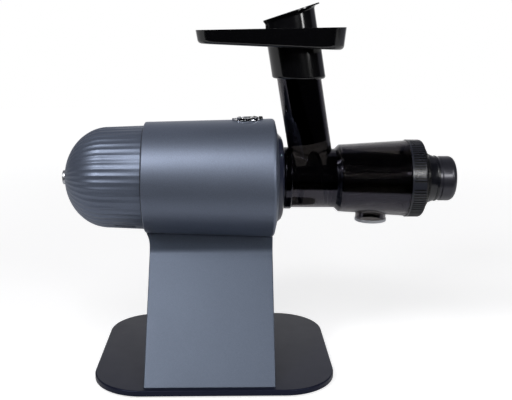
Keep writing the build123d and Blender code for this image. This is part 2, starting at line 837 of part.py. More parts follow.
sun_tip_radius = gear_module * (sun_teeth / 2 + addendum)
sun_root_radius = gear_module * (sun_teeth / 2 - dedendum)
with BuildPart() as input_carrier:
    with BuildSketch(across(input_carrier_x)):
        Circle(carrier_radius)
        with PolarLocations(planet_distance, planet_count, start_angle=30):
            Circle(planet_distance / 4, mode=Mode.SUBTRACT)
    extrude(amount=input_carrier_thickness)
    with BuildSketch(across(input_carrier_x)):
        with PolarLocations(planet_distance, planet_count, start_angle=90):
            Circle(planet_pin_radius)
    extrude(amount=-input_gear_width - gear_side_gap)
    with BuildSketch(across(input_carrier_x + input_carrier_thickness)):
        with BuildLine():
            Polyline(*toothed_outline(sun_teeth, sun_tip_radius, sun_root_radius, tooth_thinning, 90),
                     close=True)
        make_face()
    extrude(amount=gear_side_gap + output_gear_width)
input_carrier.part.label = "input_carrier"
export_step(input_carrier.part, "parts/input_carrier.step")

with BuildPart() as output_carrier:
    with BuildSketch(across(output_carrier_x)):
        Circle(carrier_radius)
        Circle(output_shaft_radius, mode=Mode.SUBTRACT)
    extrude(amount=output_carrier_thickness)
    with BuildSketch(across(output_carrier_x)):
        with PolarLocations(planet_distance, planet_count, start_angle=90):
            Circle(planet_pin_radius)
    extrude(amount=-output_gear_width - gear_side_gap)
output_carrier.part.label = "output_carrier"
export_step(output_carrier.part, "parts/output_carrier.step")

boss_x = collar_x - 8.0
hex_end_x = boss_x + hex_reach
with BuildPart() as output_shaft:
    with BuildSketch(across(output_carrier_x)):
        Circle(output_shaft_radius)
    extrude(amount=boss_x - 1.0 - output_carrier_x)
    with BuildSketch(across(boss_x - 1.0)):
        RegularPolygon(hex_across_flats / 2, 6, major_radius=False)
    extrude(amount=hex_end_x - boss_x + 1.0)
    chamfer(output_shaft.faces().sort_by(Axis.X)[-1].edges(), length=0.8)
output_shaft.part.label = "output_shaft"
export_step(output_shaft.part, "parts/output_shaft.step")

with BuildPart() as output_bush:
    with BuildSketch(across(case_front_x - case_plate_thickness)):
        Circle(output_bush_radius)
        Circle(output_shaft_radius + running_clearance, mode=Mode.SUBTRACT)
    extrude(amount=case_plate_thickness - shaft_seal_thickness)
output_bush.part.label = "output_bush"
export_step(output_bush.part, "parts/output_bush.step")

with BuildPart() as shaft_seal:
    with BuildSketch(across(case_front_x - shaft_seal_thickness)):
        Circle(shaft_seal_radius)
        Circle(output_shaft_radius + running_clearance, mode=Mode.SUBTRACT)
    extrude(amount=shaft_seal_thickness)
shaft_seal.part.label = "shaft_seal"
export_step(shaft_seal.part, "parts/shaft_seal.step")

# ---------------------------------------------------------------------------
# Motor
# ---------------------------------------------------------------------------

stator_front_x = front_shield_x - shield_gap - winding_length
stator_rear_x = stator_front_x - stator_length
rear_shield_x = stator_rear_x - winding_length - shield_gap - shield_thickness
fan_x = rear_shield_x - fan_gap - fan_depth
bracket_x = fan_x - fan_gap - shield_thickness

with BuildPart() as stator_core:
    with BuildSketch(across(stator_rear_x)):
        Circle(stator_radius)
        Circle(stator_bore, mode=Mode.SUBTRACT)
        with PolarLocations((slot_inner + slot_outer) / 2, stator_slots):
            SlotOverall(slot_outer - slot_inner, slot_width, mode=Mode.SUBTRACT)
        with PolarLocations(motor_bolt_circle, motor_bolt_count, start_angle=45):
            Circle(motor_bolt_radius + switch_fit, mode=Mode.SUBTRACT)
    extrude(amount=stator_length)
stator_core.part.label = "stator_core"
export_step(stator_core.part, "parts/stator_core.step")

with BuildPart() as stator_windings:
    for start_x in (stator_front_x, stator_rear_x - winding_length):
        with BuildSketch(across(start_x)):
            Circle(slot_outer)
            Circle(slot_inner, mode=Mode.SUBTRACT)
        extrude(amount=winding_length)
    fillet(stator_windings.edges().filter_by(GeomType.CIRCLE).group_by(Axis.X)[0], radius=3)
    fillet(stator_windings.edges().filter_by(GeomType.CIRCLE).group_by(Axis.X)[-1], radius=3)
stator_windings.part.label = "stator_windings"
export_step(stator_windings.part, "parts/stator_windings.step")

with BuildPart() as rotor_core:
    with BuildSketch(across(stator_rear_x)):
        Circle(stator_bore - rotor_gap)
        Circle(shaft_radius, mode=Mode.SUBTRACT)
    extrude(amount=stator_length)
    with BuildSketch(across(stator_rear_x - shield_wall)):
        Circle(stator_bore - shield_wall)
        Circle(2 * shaft_radius, mode=Mode.SUBTRACT)
    extrude(amount=stator_length + 2 * shield_wall)
rotor_core.part.label = "rotor_core"
export_step(rotor_core.part, "parts/rotor_core.step")

with BuildPart() as motor_shaft:
    with BuildSketch(across(fan_x)):
        Circle(shaft_radius)
    extrude(amount=front_shield_x + shield_thickness - fan_x)
    with BuildSketch(across(front_shield_x + shield_thickness)):
        Circle(shaft_nose_radius)
    extrude(amount=input_gear_x + input_gear_width - front_shield_x - shield_thickness)
motor_shaft.part.label = "motor_shaft"
export_step(motor_shaft.part, "parts/motor_shaft.step")


def motor_shield(disc_x, wall_x):
    """A motor end shield: a disc with a bush seat, and a round wall on to the stator core."""
    with BuildPart() as shield:
        with BuildSketch(across(disc_x)):
            Circle(stator_radius)
            Circle(bush_radius, mode=Mode.SUBTRACT)
            with PolarLocations(motor_bolt_circle, motor_bolt_count, start_angle=45):
                Circle(motor_bolt_radius, mode=Mode.SUBTRACT)
            with PolarLocations((slot_inner + bush_radius) / 2, 8, start_angle=22.5):
                Circle(bush_radius / 3, mode=Mode.SUBTRACT)
        extrude(amount=shield_thickness)
        with BuildSketch(across(wall_x)):
            Circle(stator_radius)
            Circle(stator_radius - shield_wall / 2, mode=Mode.SUBTRACT)
        extrude(amount=winding_length + shield_gap)
    return shield


front_motor_shield = motor_shield(front_shield_x, stator_front_x)
front_motor_shield.part.label = "front_motor_shield"
export_step(front_motor_shield.part, "parts/front_motor_shield.step")

rear_motor_shield = motor_shield(rear_shield_x, rear_shield_x + shield_thickness)
rear_motor_shield.part.label = "rear_motor_shield"
export_step(rear_motor_shield.part, "parts/rear_motor_shield.step")

with BuildPart() as shaft_bushes:
    for start_x in (front_shield_x, rear_shield_x):
        with BuildSketch(across(start_x)):
            Circle(bush_radius)
            Circle(shaft_radius + running_clearance, mode=Mode.SUBTRACT)
        extrude(amount=shield_thickness)
shaft_bushes.part.label = "shaft_bushes"
export_step(shaft_bushes.part, "parts/shaft_bushes.step")

with BuildPart() as motor_bolts:
    with BuildSketch(across(rear_shield_x)):
        with PolarLocations(motor_bolt_circle, motor_bolt_count, start_angle=45):
            Circle(motor_bolt_radius)
    extrude(amount=front_shield_x + shield_thickness - rear_shield_x)
    with BuildSketch(across(rear_shield_x)):
        with PolarLocations(motor_bolt_circle, motor_bolt_count, start_angle=45):
            RegularPolygon(2 * motor_bolt_radius, 6)
    extrude(amount=-motor_bolt_radius)
motor_bolts.part.label = "motor_bolts"
export_step(motor_bolts.part, "parts/motor_bolts.step")

with BuildPart() as cooling_fan:
    with BuildSketch(across(fan_x + fan_depth - 2)):
        Circle(fan_radius)
        Circle(shaft_radius, mode=Mode.SUBTRACT)
    extrude(amount=2)
    with BuildSketch(across(fan_x)):
        Circle(2 * shaft_radius)
        Circle(shaft_radius, mode=Mode.SUBTRACT)
    extrude(amount=fan_depth)
    with BuildSketch(across(fan_x)):
        with PolarLocations((fan_radius + 2 * shaft_radius) / 2 - 1, fan_blades):
            Rectangle(fan_radius - 2 * shaft_radius + 1, 1.6, rotation=15)
    extrude(amount=fan_depth)
cooling_fan.part.label = "cooling_fan"
export_step(cooling_fan.part, "parts/cooling_fan.step")

with BuildPart() as rear_bracket:
    with BuildSketch(across(bracket_x)):
        Circle(bracket_leg_circle + bracket_leg_radius + 1)
        Circle(bracket_leg_circle - bracket_leg_radius - 1, mode=Mode.SUBTRACT)
        for angle in planet_angles:
            with Locations(polar_point(bracket_leg_circle / 2, angle)):
                Rectangle(bracket_leg_circle, 2 * bracket_leg_radius, rotation=angle)
        Circle(3 * tie_rod_radius)
        Circle(tie_rod_radius, mode=Mode.SUBTRACT)
    extrude(amount=shield_thickness)
    with BuildSketch(across(bracket_x)):
        with PolarLocations(bracket_leg_circle, planet_count, start_angle=90):
            Circle(bracket_leg_radius)
    extrude(amount=rear_shield_x - bracket_x)
rear_bracket.part.label = "rear_bracket"
export_step(rear_bracket.part, "parts/rear_bracket.step")

with BuildPart() as tie_rod:
    with BuildSketch(across(pole_x + nut_recess)):
        Circle(tie_rod_radius)
    extrude(amount=bracket_x + shield_thickness - pole_x - nut_recess)
tie_rod.part.label = "tie_rod"
export_step(tie_rod.part, "parts/tie_rod.step")

# ---------------------------------------------------------------------------
# Switch group on top of the body
# ---------------------------------------------------------------------------


def shell_layer(low, high):
    """Half-section of a layer on the body shell, from low to high above its outside."""
    start, end = switch_x - switch_plate_length, switch_x + switch_plate_length
    with BuildSketch(side_plane) as section:
        with BuildLine():
            Polyline((start, shell_radius(start) + low), (end, shell_radius(end) + low),
                     (end, shell_radius(end) + high), (start, shell_radius(start) + high), close=True)
        make_face()
    return section.sketch


with BuildPart() as switch_plate:
    revolve(shell_layer(0, switch_plate_rise), axis=drive_axis)
    with BuildSketch(Plane.XY.offset(axis_height)):
        with Locations((switch_x, 0)):
            SlotOverall(switch_plate_length, switch_plate_width)
            SlotOverall(switch_opening_length, switch_opening_width, mode=Mode.SUBTRACT)
        with Locations((button_x, 0), (lens_x, 0)):
            Circle(button_radius + switch_fit, mode=Mode.SUBTRACT)
    extrude(amount=2 * shell_front_radius, mode=Mode.INTERSECT)
switch_plate.part.label = "switch_plate"
export_step(switch_plate.part, "parts/switch_plate.step")

with BuildPart() as switch_bezel:
    revolve(shell_layer(switch_plate_rise, bezel_rise), axis=drive_axis)
    with BuildSketch(Plane.XY.offset(axis_height)):
        with Locations((switch_x, 0)):
            SlotOverall(bezel_length, bezel_width)
            SlotOverall(switch_opening_length, switch_opening_width, mode=Mode.SUBTRACT)
    extrude(amount=2 * shell_front_radius, mode=Mode.INTERSECT)
switch_bezel.part.label = "switch_bezel"
export_step(switch_bezel.part, "parts/switch_bezel.step")

rocker_pivot_z = switch_top - rocker_pivot_drop
block_length = switch_opening_length - 2 * switch_fit
block_width = switch_opening_width - 2 * switch_fit
with BuildPart() as switch_block:
    with BuildSketch(Plane.XY.offset(switch_top - switch_block_depth)):
        with Locations((switch_x, 0)):
            SlotOverall(block_length, block_width)
    extrude(amount=switch_block_depth - 0.8)
    with BuildSketch(Plane.XY.offset(switch_top - 0.75 * switch_block_depth)):
        with Locations((switch_x, 0)):
            SlotOverall(block_length - 2 * switch_block_wall, block_width - 2 * switch_block_wall)
    extrude(amount=switch_block_depth, mode=Mode.SUBTRACT)
    with BuildSketch(Plane(origin=(switch_x, -block_width / 2, rocker_pivot_z), x_dir=(1, 0, 0),
                           z_dir=(0, 1, 0))):
        Circle(rocker_pin_radius + running_clearance)
    extrude(amount=block_width, mode=Mode.SUBTRACT)
switch_block.part.label = "switch_block"
export_step(switch_block.part, "parts/switch_block.step")

tilt = radians(rocker_tilt)
rocker_plane = Plane(origin=(switch_x, 0, rocker_pivot_z), x_dir=(cos(tilt), 0, sin(tilt)),
                     z_dir=(0, -1, 0))
rocker_half = rocker_length / 2
with BuildPart() as rocker:
    with BuildSketch(rocker_plane):
        with BuildLine():
            Polyline((-rocker_half, 1), (-rocker_half, rocker_end_rise))
            ThreePointArc((-rocker_half, rocker_end_rise), (0, rocker_end_rise - rocker_dish),
                          (rocker_half, rocker_end_rise))
            Polyline((rocker_half, rocker_end_rise), (rocker_half, 1), (rocker_half / 3, -2.5),
                     (-rocker_half / 3, -2.5), (-rocker_half, 1))
        make_face()
    extrude(amount=rocker_width / 2, both=True)
    with BuildSketch(Plane(origin=rocker_plane.origin, x_dir=rocker_plane.x_dir, z_dir=rocker_plane.y_dir)):
        SlotOverall(rocker_length, rocker_width)
    extrude(amount=2 * rocker_end_rise, both=True, mode=Mode.INTERSECT)
    with BuildSketch(rocker_plane):
        Circle(rocker_pin_radius)
    extrude(amount=block_width / 2 - switch_fit, both=True)
rocker.part.label = "rocker"
export_step(rocker.part, "parts/rocker.step")

board_top = switch_top - switch_block_depth
flange_top = switch_top - shell_wall - 1.0
button_foot = flange_top - 1.4
with BuildPart() as reverse_button:
    with BuildSketch(Plane.XY.offset(flange_top)):
        with Locations((button_x, 0)):
            Circle(button_radius)
    extrude(amount=switch_top + switch_plate_rise + button_rise - flange_top)
    fillet(reverse_button.faces().sort_by(Axis.Z)[-1].edges(), radius=button_radius / 2)
    with BuildSketch(Plane.XY.offset(button_foot)):
        with Locations((button_x, 0)):
            Circle(button_flange_radius)
    extrude(amount=flange_top - button_foot)
reverse_button.part.label = "reverse_button"
export_step(reverse_button.part, "parts/reverse_button.step")

spring_height = button_foot - board_top
with BuildPart() as button_spring:
    with BuildLine() as coil:
        Helix((spring_height - spring_wire) / spring_turns, spring_height - spring_wire, spring_radius,
              center=(button_x, 0, board_top + spring_wire / 2))
    with BuildSketch(Plane(origin=coil.line @ 0, z_dir=coil.line % 0)):
        Circle(spring_wire / 2)
    sweep(path=coil.line, is_frenet=True)
button_spring.part.label = "button_spring"
export_step(button_spring.part, "parts/button_spring.step")

with BuildPart() as pilot_lens:
    with BuildSketch(Plane.XY.offset(switch_top - shell_wall)):
        with Locations((lens_x, 0)):
            Circle(button_radius)
    extrude(amount=shell_wall + switch_plate_rise + lens_rise)
    fillet(pilot_lens.faces().sort_by(Axis.Z)[-1].edges(), radius=lens_rise)
    with BuildSketch(Plane.XY.offset(board_top)):
        with Locations((lens_x, 0)):
            Circle(button_radius / 2)
    extrude(amount=switch_block_depth - shell_wall)
pilot_lens.part.label = "pilot_lens"
export_step(pilot_lens.part, "parts/pilot_lens.step")

with BuildPart() as control_board:
    with BuildSketch(Plane.XY.offset(board_top - board_thickness)):
        with Locations((switch_x, 0)):
            Rectangle(board_length, board_width)
    extrude(amount=board_thickness)
control_board.part.label = "control_board"
export_step(control_board.part, "parts/control_board.step")

# ---------------------------------------------------------------------------
# Drum with its feed chute and juice spout
# ---------------------------------------------------------------------------

chute_x = shoulder_x - chute_setback
lean = radians(chute_lean)
chute_plane = Plane(origin=(chute_x, 0, axis_height), x_dir=(cos(lean), 0, sin(lean)),
                    z_dir=(-sin(lean), 0, cos(lean)))
tail_x = rim_x - 1.5 + tail_gap
back_wall_x = collar_x + drum_back_wall
step_x = barrel_x + drum_wall - 0.8
mouth_x = ring_x + mouth_length
lip_x = ring_x - drum_lip_thickness
spout_x = barrel_x + spout_station
drum_lug_x = ring_x + 3.8
drum_lug_length = 3.0
neck_bore = neck_radius - drum_wall
barrel_bore = barrel_rear_radius - drum_wall

with BuildPart() as drum_housing:
    with BuildSketch(side_plane):
        with BuildLine():
            Polyline((tail_x, 0), (tail_x, tail_radius), (collar_x, tail_radius), (collar_x, collar_radius),
                     (neck_x, collar_radius), (neck_x, neck_radius), (shoulder_x, neck_radius),
                     (barrel_x, barrel_rear_radius), (ring_x, barrel_front_radius), (ring_x, mouth_radius),
                     (mouth_x, mouth_radius), (mouth_x, 0), close=True)
        make_face()
    revolve(axis=drive_axis)
    fillet(drum_housing.edges().filter_by(GeomType.CIRCLE).filter_by(
        lambda edge: abs(edge.radius - collar_radius) < 0.01), radius=1.2)
    with BuildSketch(chute_plane):
        Circle(chute_radius)
    extrude(amount=chute_top)
    with BuildSketch(chute_plane.offset(chute_cup_start)):
        Circle(chute_cup_radius)
    extrude(amount=chute_top - chute_cup_start)
    with BuildSketch(Plane.XY.offset(axis_height - spout_drop)):
        with Locations((spout_x, 0)):
            Circle(spout_radius)
    extrude(amount=spout_drop)
    with BuildSketch(side_plane):
        with BuildLine():
            Polyline((back_wall_x, 0), (back_wall_x, neck_bore), (step_x, neck_bore), (step_x, barrel_bore),
                     (lip_x, mouth_bore), (mouth_x, mouth_bore), (mouth_x, 0), close=True)
        make_face()
    revolve(axis=drive_axis, mode=Mode.SUBTRACT)
    with BuildSketch(across(tail_x)):
        Circle(tail_radius - tail_wall)
    extrude(amount=collar_x - tail_x, mode=Mode.SUBTRACT)
    with BuildSketch(across(collar_x)):
        Circle(auger_boss_radius + auger_boss_clearance)
    extrude(amount=drum_back_wall, mode=Mode.SUBTRACT)
    with BuildSketch(chute_plane):
        Circle(chute_bore)
    extrude(amount=chute_top, mode=Mode.SUBTRACT)
    with BuildSketch(Plane.XY.offset(axis_height - spout_drop)):
        with Locations((spout_x, 0)):
            Circle(spout_bore)
    extrude(amount=spout_drop - neck_bore, mode=Mode.SUBTRACT)
    with BuildSketch(Plane.XY.offset(axis_height - spout_drop)):
        with Locations((spout_x, 0)):
            Circle(spout_radius)
            Circle(spout_ring_seat, mode=Mode.SUBTRACT)
    extrude(amount=spout_ring_height, mode=Mode.SUBTRACT)
    for count, angle_width, lug_x, length, low, high in (
            (bayonet_count, bayonet_lug_angle, lug_start, lug_end - lug_start,
             tail_radius - 1, bayonet_lug_radius),
            (mouth_lug_count, mouth_lug_angle, drum_lug_x, drum_lug_length,
             mouth_radius - 1, mouth_lug_radius)):
        for number in range(count):
            middle = 90 + number * 360 / count
            with BuildSketch(across(lug_x)):
                Circle(high)
                Circle(low, mode=Mode.SUBTRACT)
                with BuildLine(mode=Mode.PRIVATE) as wedge_line:
                    Polyline((0, 0), polar_point(2 * high, middle - angle_width / 2),
                             polar_point(2 * high, middle + angle_width / 2), close=True)
                make_face(wedge_line.edges(), mode=Mode.INTERSECT)
            extrude(amount=length)
drum_housing.part.label = "drum_housing"
export_step(drum_housing.part, "parts/drum_housing.step")

with BuildPart() as drum_seal:
    with BuildSketch(across(rim_x - 1.5)):
        Circle(tail_radius - 0.2)
        Circle(tail_radius - tail_wall, mode=Mode.SUBTRACT)
    extrude(amount=tail_gap - turning_clearance)
drum_seal.part.label = "drum_seal"
export_step(drum_seal.part, "parts/drum_seal.step")

with BuildPart() as outlet_ring:
    with BuildSketch(Plane.XY.offset(axis_height - spout_drop)):
        with Locations((spout_x, 0)):
            Circle(spout_ring_radius)
            Circle(spout_ring_seat, mode=Mode.SUBTRACT)
    extrude(amount=spout_ring_height)
    fillet(outlet_ring.edges().filter_by(GeomType.CIRCLE).group_by(Axis.Z)[0], radius=0.5)
outlet_ring.part.label = "outlet_ring"
export_step(outlet_ring.part, "parts/outlet_ring.step")

# ---------------------------------------------------------------------------
# Strainer and auger
# ---------------------------------------------------------------------------

strainer_x = step_x + turning_clearance
strainer_end_x = mouth_x - 1.0


def auger_radius(x):
    """Outside radius of the auger's flights: straight in the neck, tapering through the strainer."""
    share = max(0.0, (x - strainer_x) / (strainer_end_x - strainer_x))
    return auger_rear_radius + (auger_front_radius - auger_rear_radius) * share


strainer_rear_bore = auger_radius(strainer_x) + strainer_gap
strainer_front_bore = auger_radius(strainer_end_x) + strainer_gap
strainer_front_flange = mouth_bore - turning_clearance
slot_rows = 3
slot_pitch = strainer_slot_length + strainer_flange
with BuildPart() as juice_strainer:
    with BuildSketch(side_plane):
        with BuildLine():
            Polyline((strainer_x, strainer_rear_bore), (strainer_x, barrel_bore - turning_clearance),
                     (strainer_x + strainer_flange, barrel_bore - turning_clearance),
                     (strainer_x + strainer_flange, strainer_rear_bore + strainer_wall),
                     (strainer_end_x - strainer_flange, strainer_front_bore + strainer_wall),
                     (strainer_end_x - strainer_flange, strainer_front_flange),
                     (strainer_end_x, strainer_front_flange),
                     (strainer_end_x, strainer_front_bore), close=True)
        make_face()
    revolve(axis=drive_axis)
    for row in range(slot_rows):
        row_x = strainer_x + 2 * strainer_flange + row * slot_pitch
        with BuildSketch(across(row_x)):
            with PolarLocations(strainer_rear_bore, strainer_slots, start_angle=180 / strainer_slots):
                Rectangle(strainer_rear_bore, strainer_slot_width)
        extrude(amount=strainer_slot_length, mode=Mode.SUBTRACT)
juice_strainer.part.label = "juice_strainer"
export_step(juice_strainer.part, "parts/juice_strainer.step")

flight_start_x = back_wall_x + 3.0
flight_end_x = strainer_end_x - 4.0
flight_root = auger_core_rear - 2.5
flight_taper = degrees(atan2(auger_front_radius - auger_rear_radius, strainer_end_x - strainer_x))
nose_x = strainer_end_x - 2.0
with BuildPart() as auger:
    with BuildSketch(side_plane):
        with BuildLine():
            Polyline((boss_x, 0), (boss_x, auger_boss_radius), (back_wall_x + 1.0, auger_boss_radius),
                     (back_wall_x + 1.0, auger_core_rear), (nose_x, auger_core_front),
                     (nose_x + auger_nose_length, auger_nose_radius), (nose_x + auger_nose_length, 0),
                     close=True)
        make_face()
    revolve(axis=drive_axis)
    for start_x, end_x, turns, taper in (
            (flight_start_x, strainer_x, auger_neck_turns, 0),
            (strainer_x, flight_end_x, auger_strainer_turns, flight_taper)):
        with BuildLine() as flight_path:
            Helix((end_x - start_x) / turns, end_x - start_x, (flight_root + auger_rear_radius) / 2,
                  center=(start_x, 0, axis_height), direction=(1, 0, 0), cone_angle=taper)
        path_start = flight_path.line @ 0
        with BuildSketch(Plane(origin=path_start, x_dir=path_start - Vector(start_x, 0, axis_height),
                               z_dir=flight_path.line % 0)):
            Rectangle(auger_rear_radius - flight_root, auger_flight_thickness)
        sweep(path=flight_path.line, is_frenet=True)
    with BuildSketch(across(boss_x)):
        RegularPolygon(hex_across_flats / 2 + hex_socket_clearance, 6, major_radius=False)
    extrude(amount=hex_reach + 1.0, mode=Mode.SUBTRACT)
auger.part.label = "auger"
export_step(auger.part, "parts/auger.step")

# ---------------------------------------------------------------------------
# Cap ring, pressure dial and nozzle
# ---------------------------------------------------------------------------

cap_start_x = ring_x + turning_clearance
cap_round_x = ring_x + cap_round_start
cap_corner_x = cap_round_x + cap_round_length
cap_inner_x = mouth_x + 1.9
hub_face_x = dial_collar_x - 7.0


def cap_outline(inset):
    """Closed half-section of the cap ring's outside, inset, filled to the axis."""
    with BuildSketch(side_plane) as section:
        with BuildLine():
            corner = (cap_corner_x, cap_corner_radius - inset)
            Polyline((cap_start_x, 0), (cap_start_x, cap_radius - inset), (cap_round_x, cap_radius - inset))
            TangentArc((cap_round_x, cap_radius - inset), corner, tangent=(1, 0))
            Polyline(corner, (dial_collar_x - inset, cap_face_radius), (dial_collar_x - inset, 0),
                     (cap_start_x, 0))
        make_face()
    return section.sketch


# Tool for the grip grooves: thin radial slots that follow the outline at a constant depth
rib_pitch = 360 / cap_rib_count
pad_pitch = 360 / cap_pad_count
groove_angles = [
    180 + cap_pad_angle + (number + 0.5) * rib_pitch for number in range(cap_rib_count)
    if abs(((number + 0.5) * rib_pitch + pad_pitch / 2) % pad_pitch - pad_pitch / 2) > 0.6 * rib_pitch
]
with BuildPart() as groove_tool:
    with BuildSketch(across(ring_x + cap_band)):
        for angle in groove_angles:
            with Locations(polar_point(cap_radius - 4.0, angle)):
                Rectangle(12.0, cap_groove_width, rotation=angle)
    extrude(amount=cap_corner_x + 4.0 - ring_x - cap_band)
    revolve(cap_outline(cap_groove_depth), axis=drive_axis, mode=Mode.SUBTRACT)

with BuildPart() as cap_ring:
    revolve(cap_outline(0), axis=drive_axis)
    add(groove_tool.part, mode=Mode.SUBTRACT)
    with BuildSketch(side_plane):
        with BuildLine():
            Polyline((cap_start_x, 0), (cap_start_x, cap_radius - cap_wall),
                     (cap_inner_x, cap_radius - cap_wall), (cap_inner_x, mouth_bore - 4.0),
                     (hub_face_x, cap_hub_bore + 3.0), (hub_face_x, 0), close=True)
        make_face()
    revolve(axis=drive_axis, mode=Mode.SUBTRACT)
    with BuildSketch(across(hub_face_x)):
        Circle(cap_hub_bore)
    extrude(amount=dial_collar_x - hub_face_x, mode=Mode.SUBTRACT)
    for number in range(mouth_lug_count):
        middle = 90 + number * 360 / mouth_lug_count
        with BuildSketch(across(cap_start_x)):
            Circle(cap_radius - cap_wall + 0.5)
            Circle(mouth_radius + turning_clearance, mode=Mode.SUBTRACT)
            with BuildLine(mode=Mode.PRIVATE) as wedge_line:
                Polyline((0, 0), polar_point(2 * cap_radius, middle - mouth_lug_angle / 2),
                         polar_point(2 * cap_radius, middle + mouth_lug_angle / 2), close=True)
            make_face(wedge_line.edges(), mode=Mode.INTERSECT)
        extrude(amount=drum_lug_x - 0.5 - cap_start_x)
cap_ring.part.label = "cap_ring"
export_step(cap_ring.part, "parts/cap_ring.step")

with BuildPart() as cap_seal:
    with BuildSketch(across(mouth_x + turning_clearance)):
        Circle(mouth_radius + 0.6)
        Circle(mouth_bore - 1.0, mode=Mode.SUBTRACT)
    extrude(amount=cap_inner_x - mouth_x - turning_clearance)
cap_seal.part.label = "cap_seal"
export_step(cap_seal.part, "parts/cap_seal.step")

spigot_end_x = dial_x + dial_spigot_length
key_reach = dial_collar_bore + nozzle_key_height
with BuildPart() as dial_collar:
    with BuildSketch(side_plane):
        with BuildLine():
            Polyline((hub_face_x, dial_collar_bore), (hub_face_x, cap_hub_bore),
                     (dial_collar_x, cap_hub_bore), (dial_collar_x, dial_collar_rear_radius),
                     (dial_x, dial_collar_front_radius),
                     (dial_x, dial_spigot_radius), (spigot_end_x, dial_spigot_radius),
                     (spigot_end_x, dial_collar_bore), close=True)
        make_face()
    revolve(axis=drive_axis)
    with BuildSketch(across(hub_face_x)):
        Rectangle(2 * key_reach, nozzle_key_width + 2 * turning_clearance)
        Circle(dial_collar_bore - 1, mode=Mode.SUBTRACT)
    extrude(amount=spigot_end_x - hub_face_x, mode=Mode.SUBTRACT)
dial_collar.part.label = "dial_collar"
export_step(dial_collar.part, "parts/dial_collar.step")

dial_start_x = dial_x + turning_clearance
cavity_end_x = front_x - dial_face_thickness
with BuildPart() as pressure_dial:
    with BuildSketch(side_plane):
        with BuildLine():
            Polyline((dial_start_x, dial_spigot_radius + turning_clearance),
                     (dial_start_x, dial_groove_radius),
                     (dial_start_x + dial_groove_length, dial_groove_radius),
                     (dial_start_x + dial_groove_length + 1.0, dial_radius),
                     (front_x - dial_corner, dial_radius))
            TangentArc((front_x - dial_corner, dial_radius), (front_x, dial_radius - dial_corner),
                       tangent=(1, 0))
            Polyline((front_x, dial_radius - dial_corner), (front_x, dial_hole_radius + 2.0),
                     (front_x - 2.0, dial_hole_radius), (cavity_end_x, dial_hole_radius),
                     (cavity_end_x, dial_spigot_radius + turning_clearance),
                     (dial_start_x, dial_spigot_radius + turning_clearance))
        make_face()
    revolve(axis=drive_axis)
pressure_dial.part.label = "pressure_dial"
export_step(pressure_dial.part, "parts/pressure_dial.step")

nozzle_x = dial_collar_x - nozzle_setback
nozzle_end_x = nozzle_x + nozzle_length
nozzle_radius = dial_collar_bore - turning_clearance
with BuildPart() as pressure_nozzle:
    with BuildSketch(side_plane):
        with BuildLine():
            Polyline((nozzle_x, nozzle_mouth_radius), (nozzle_x, nozzle_radius),
                     (nozzle_end_x, nozzle_radius), (nozzle_end_x, nozzle_throat_radius),
                     (nozzle_x + nozzle_cone_length, nozzle_throat_radius), close=True)
        make_face()
    revolve(axis=drive_axis)
    with BuildSketch(across(nozzle_x + nozzle_cone_length)):
        Rectangle(2 * (key_reach - turning_clearance), nozzle_key_width)
        Circle(nozzle_radius - 1, mode=Mode.SUBTRACT)
    extrude(amount=nozzle_length - nozzle_cone_length)
pressure_nozzle.part.label = "pressure_nozzle"
export_step(pressure_nozzle.part, "parts/pressure_nozzle.step")

# ---------------------------------------------------------------------------
# Food tray and pusher
# ---------------------------------------------------------------------------

tray_rear_x = chute_x - tray_rear_reach
tray_front_x = chute_x + tray_front_reach


def tray_section(rear_height, front_height, inset):
    """Tray outline seen from above, on a plane from rear_height to front_height over the axis."""
    slope = atan2(front_height - rear_height, tray_front_x - tray_rear_x)
    length = (tray_front_x - tray_rear_x) / cos(slope) - 2 * inset
    plane = Plane(origin=(tray_rear_x, 0, axis_height + rear_height), x_dir=(cos(slope), 0, sin(slope)),
                  z_dir=(-sin(slope), 0, cos(slope)))
    front_half = tray_front_width / 2 - inset
    rear_half = tray_rear_width / 2 - inset
    with BuildSketch(plane) as section:
        with BuildLine():
            Polyline((inset, -rear_half), (inset + length, -front_half), (inset + length, front_half),
                     (inset, rear_half), close=True)
        make_face()
        fillet(section.vertices().group_by(Axis.X)[0], radius=tray_rear_corner - inset)
        fillet(section.vertices().group_by(Axis.X)[-1], radius=tray_front_corner - inset)
    return section.sketch


with BuildPart() as tray_hollow:
    loft([tray_section(tray_floor_rear + tray_wall, tray_floor_front + tray_wall, tray_draft + tray_wall),
          tray_section(tray_rim_rear + 0.1, tray_rim_front + 0.1, tray_wall)])
    fillet(tray_hollow.faces().sort_by(Axis.Z)[0].edges(), radius=tray_edge - 1)

# The collar leans with the chute and is cut level at its lower end
collar_level = Plane.XY.offset(axis_height + tray_collar_bottom)
tray_collar_start = tray_collar_bottom / cos(lean) - tray_collar_radius * tan(lean)
with BuildPart() as tray_collar:
    with BuildSketch(chute_plane.offset(tray_collar_start)):
        Circle(tray_collar_radius)
    extrude(amount=tray_neck_top - tray_collar_start)
    split(bisect_by=collar_level, keep=Keep.TOP)
    fillet(tray_collar.faces().sort_by(Axis.Z)[0].edges(), radius=tray_collar_round)

with BuildPart() as tray:
    loft([tray_section(tray_floor_rear, tray_floor_front, tray_draft),
          tray_section(tray_rim_rear, tray_rim_front, 0)])
    fillet(tray.faces().sort_by(Axis.Z)[0].edges(), radius=tray_edge)
    add(tray_collar.part)
    add(tray_hollow.part, mode=Mode.SUBTRACT)
    with BuildSketch(chute_plane.offset(chute_top)):
        Circle(tray_neck_radius)
    extrude(amount=tray_neck_top - chute_top)
    with BuildSketch(chute_plane.offset(tray_collar_start)):
        Circle(chute_cup_radius + tray_fit)
    extrude(amount=chute_top + tray_fit - tray_collar_start, mode=Mode.SUBTRACT)
    with BuildSketch(chute_plane.offset(tray_collar_start)):
        Circle(chute_bore)
    extrude(amount=tray_neck_top - tray_collar_start + 1, mode=Mode.SUBTRACT)
tray.part.label = "tray"
export_step(tray.part, "parts/tray.step")

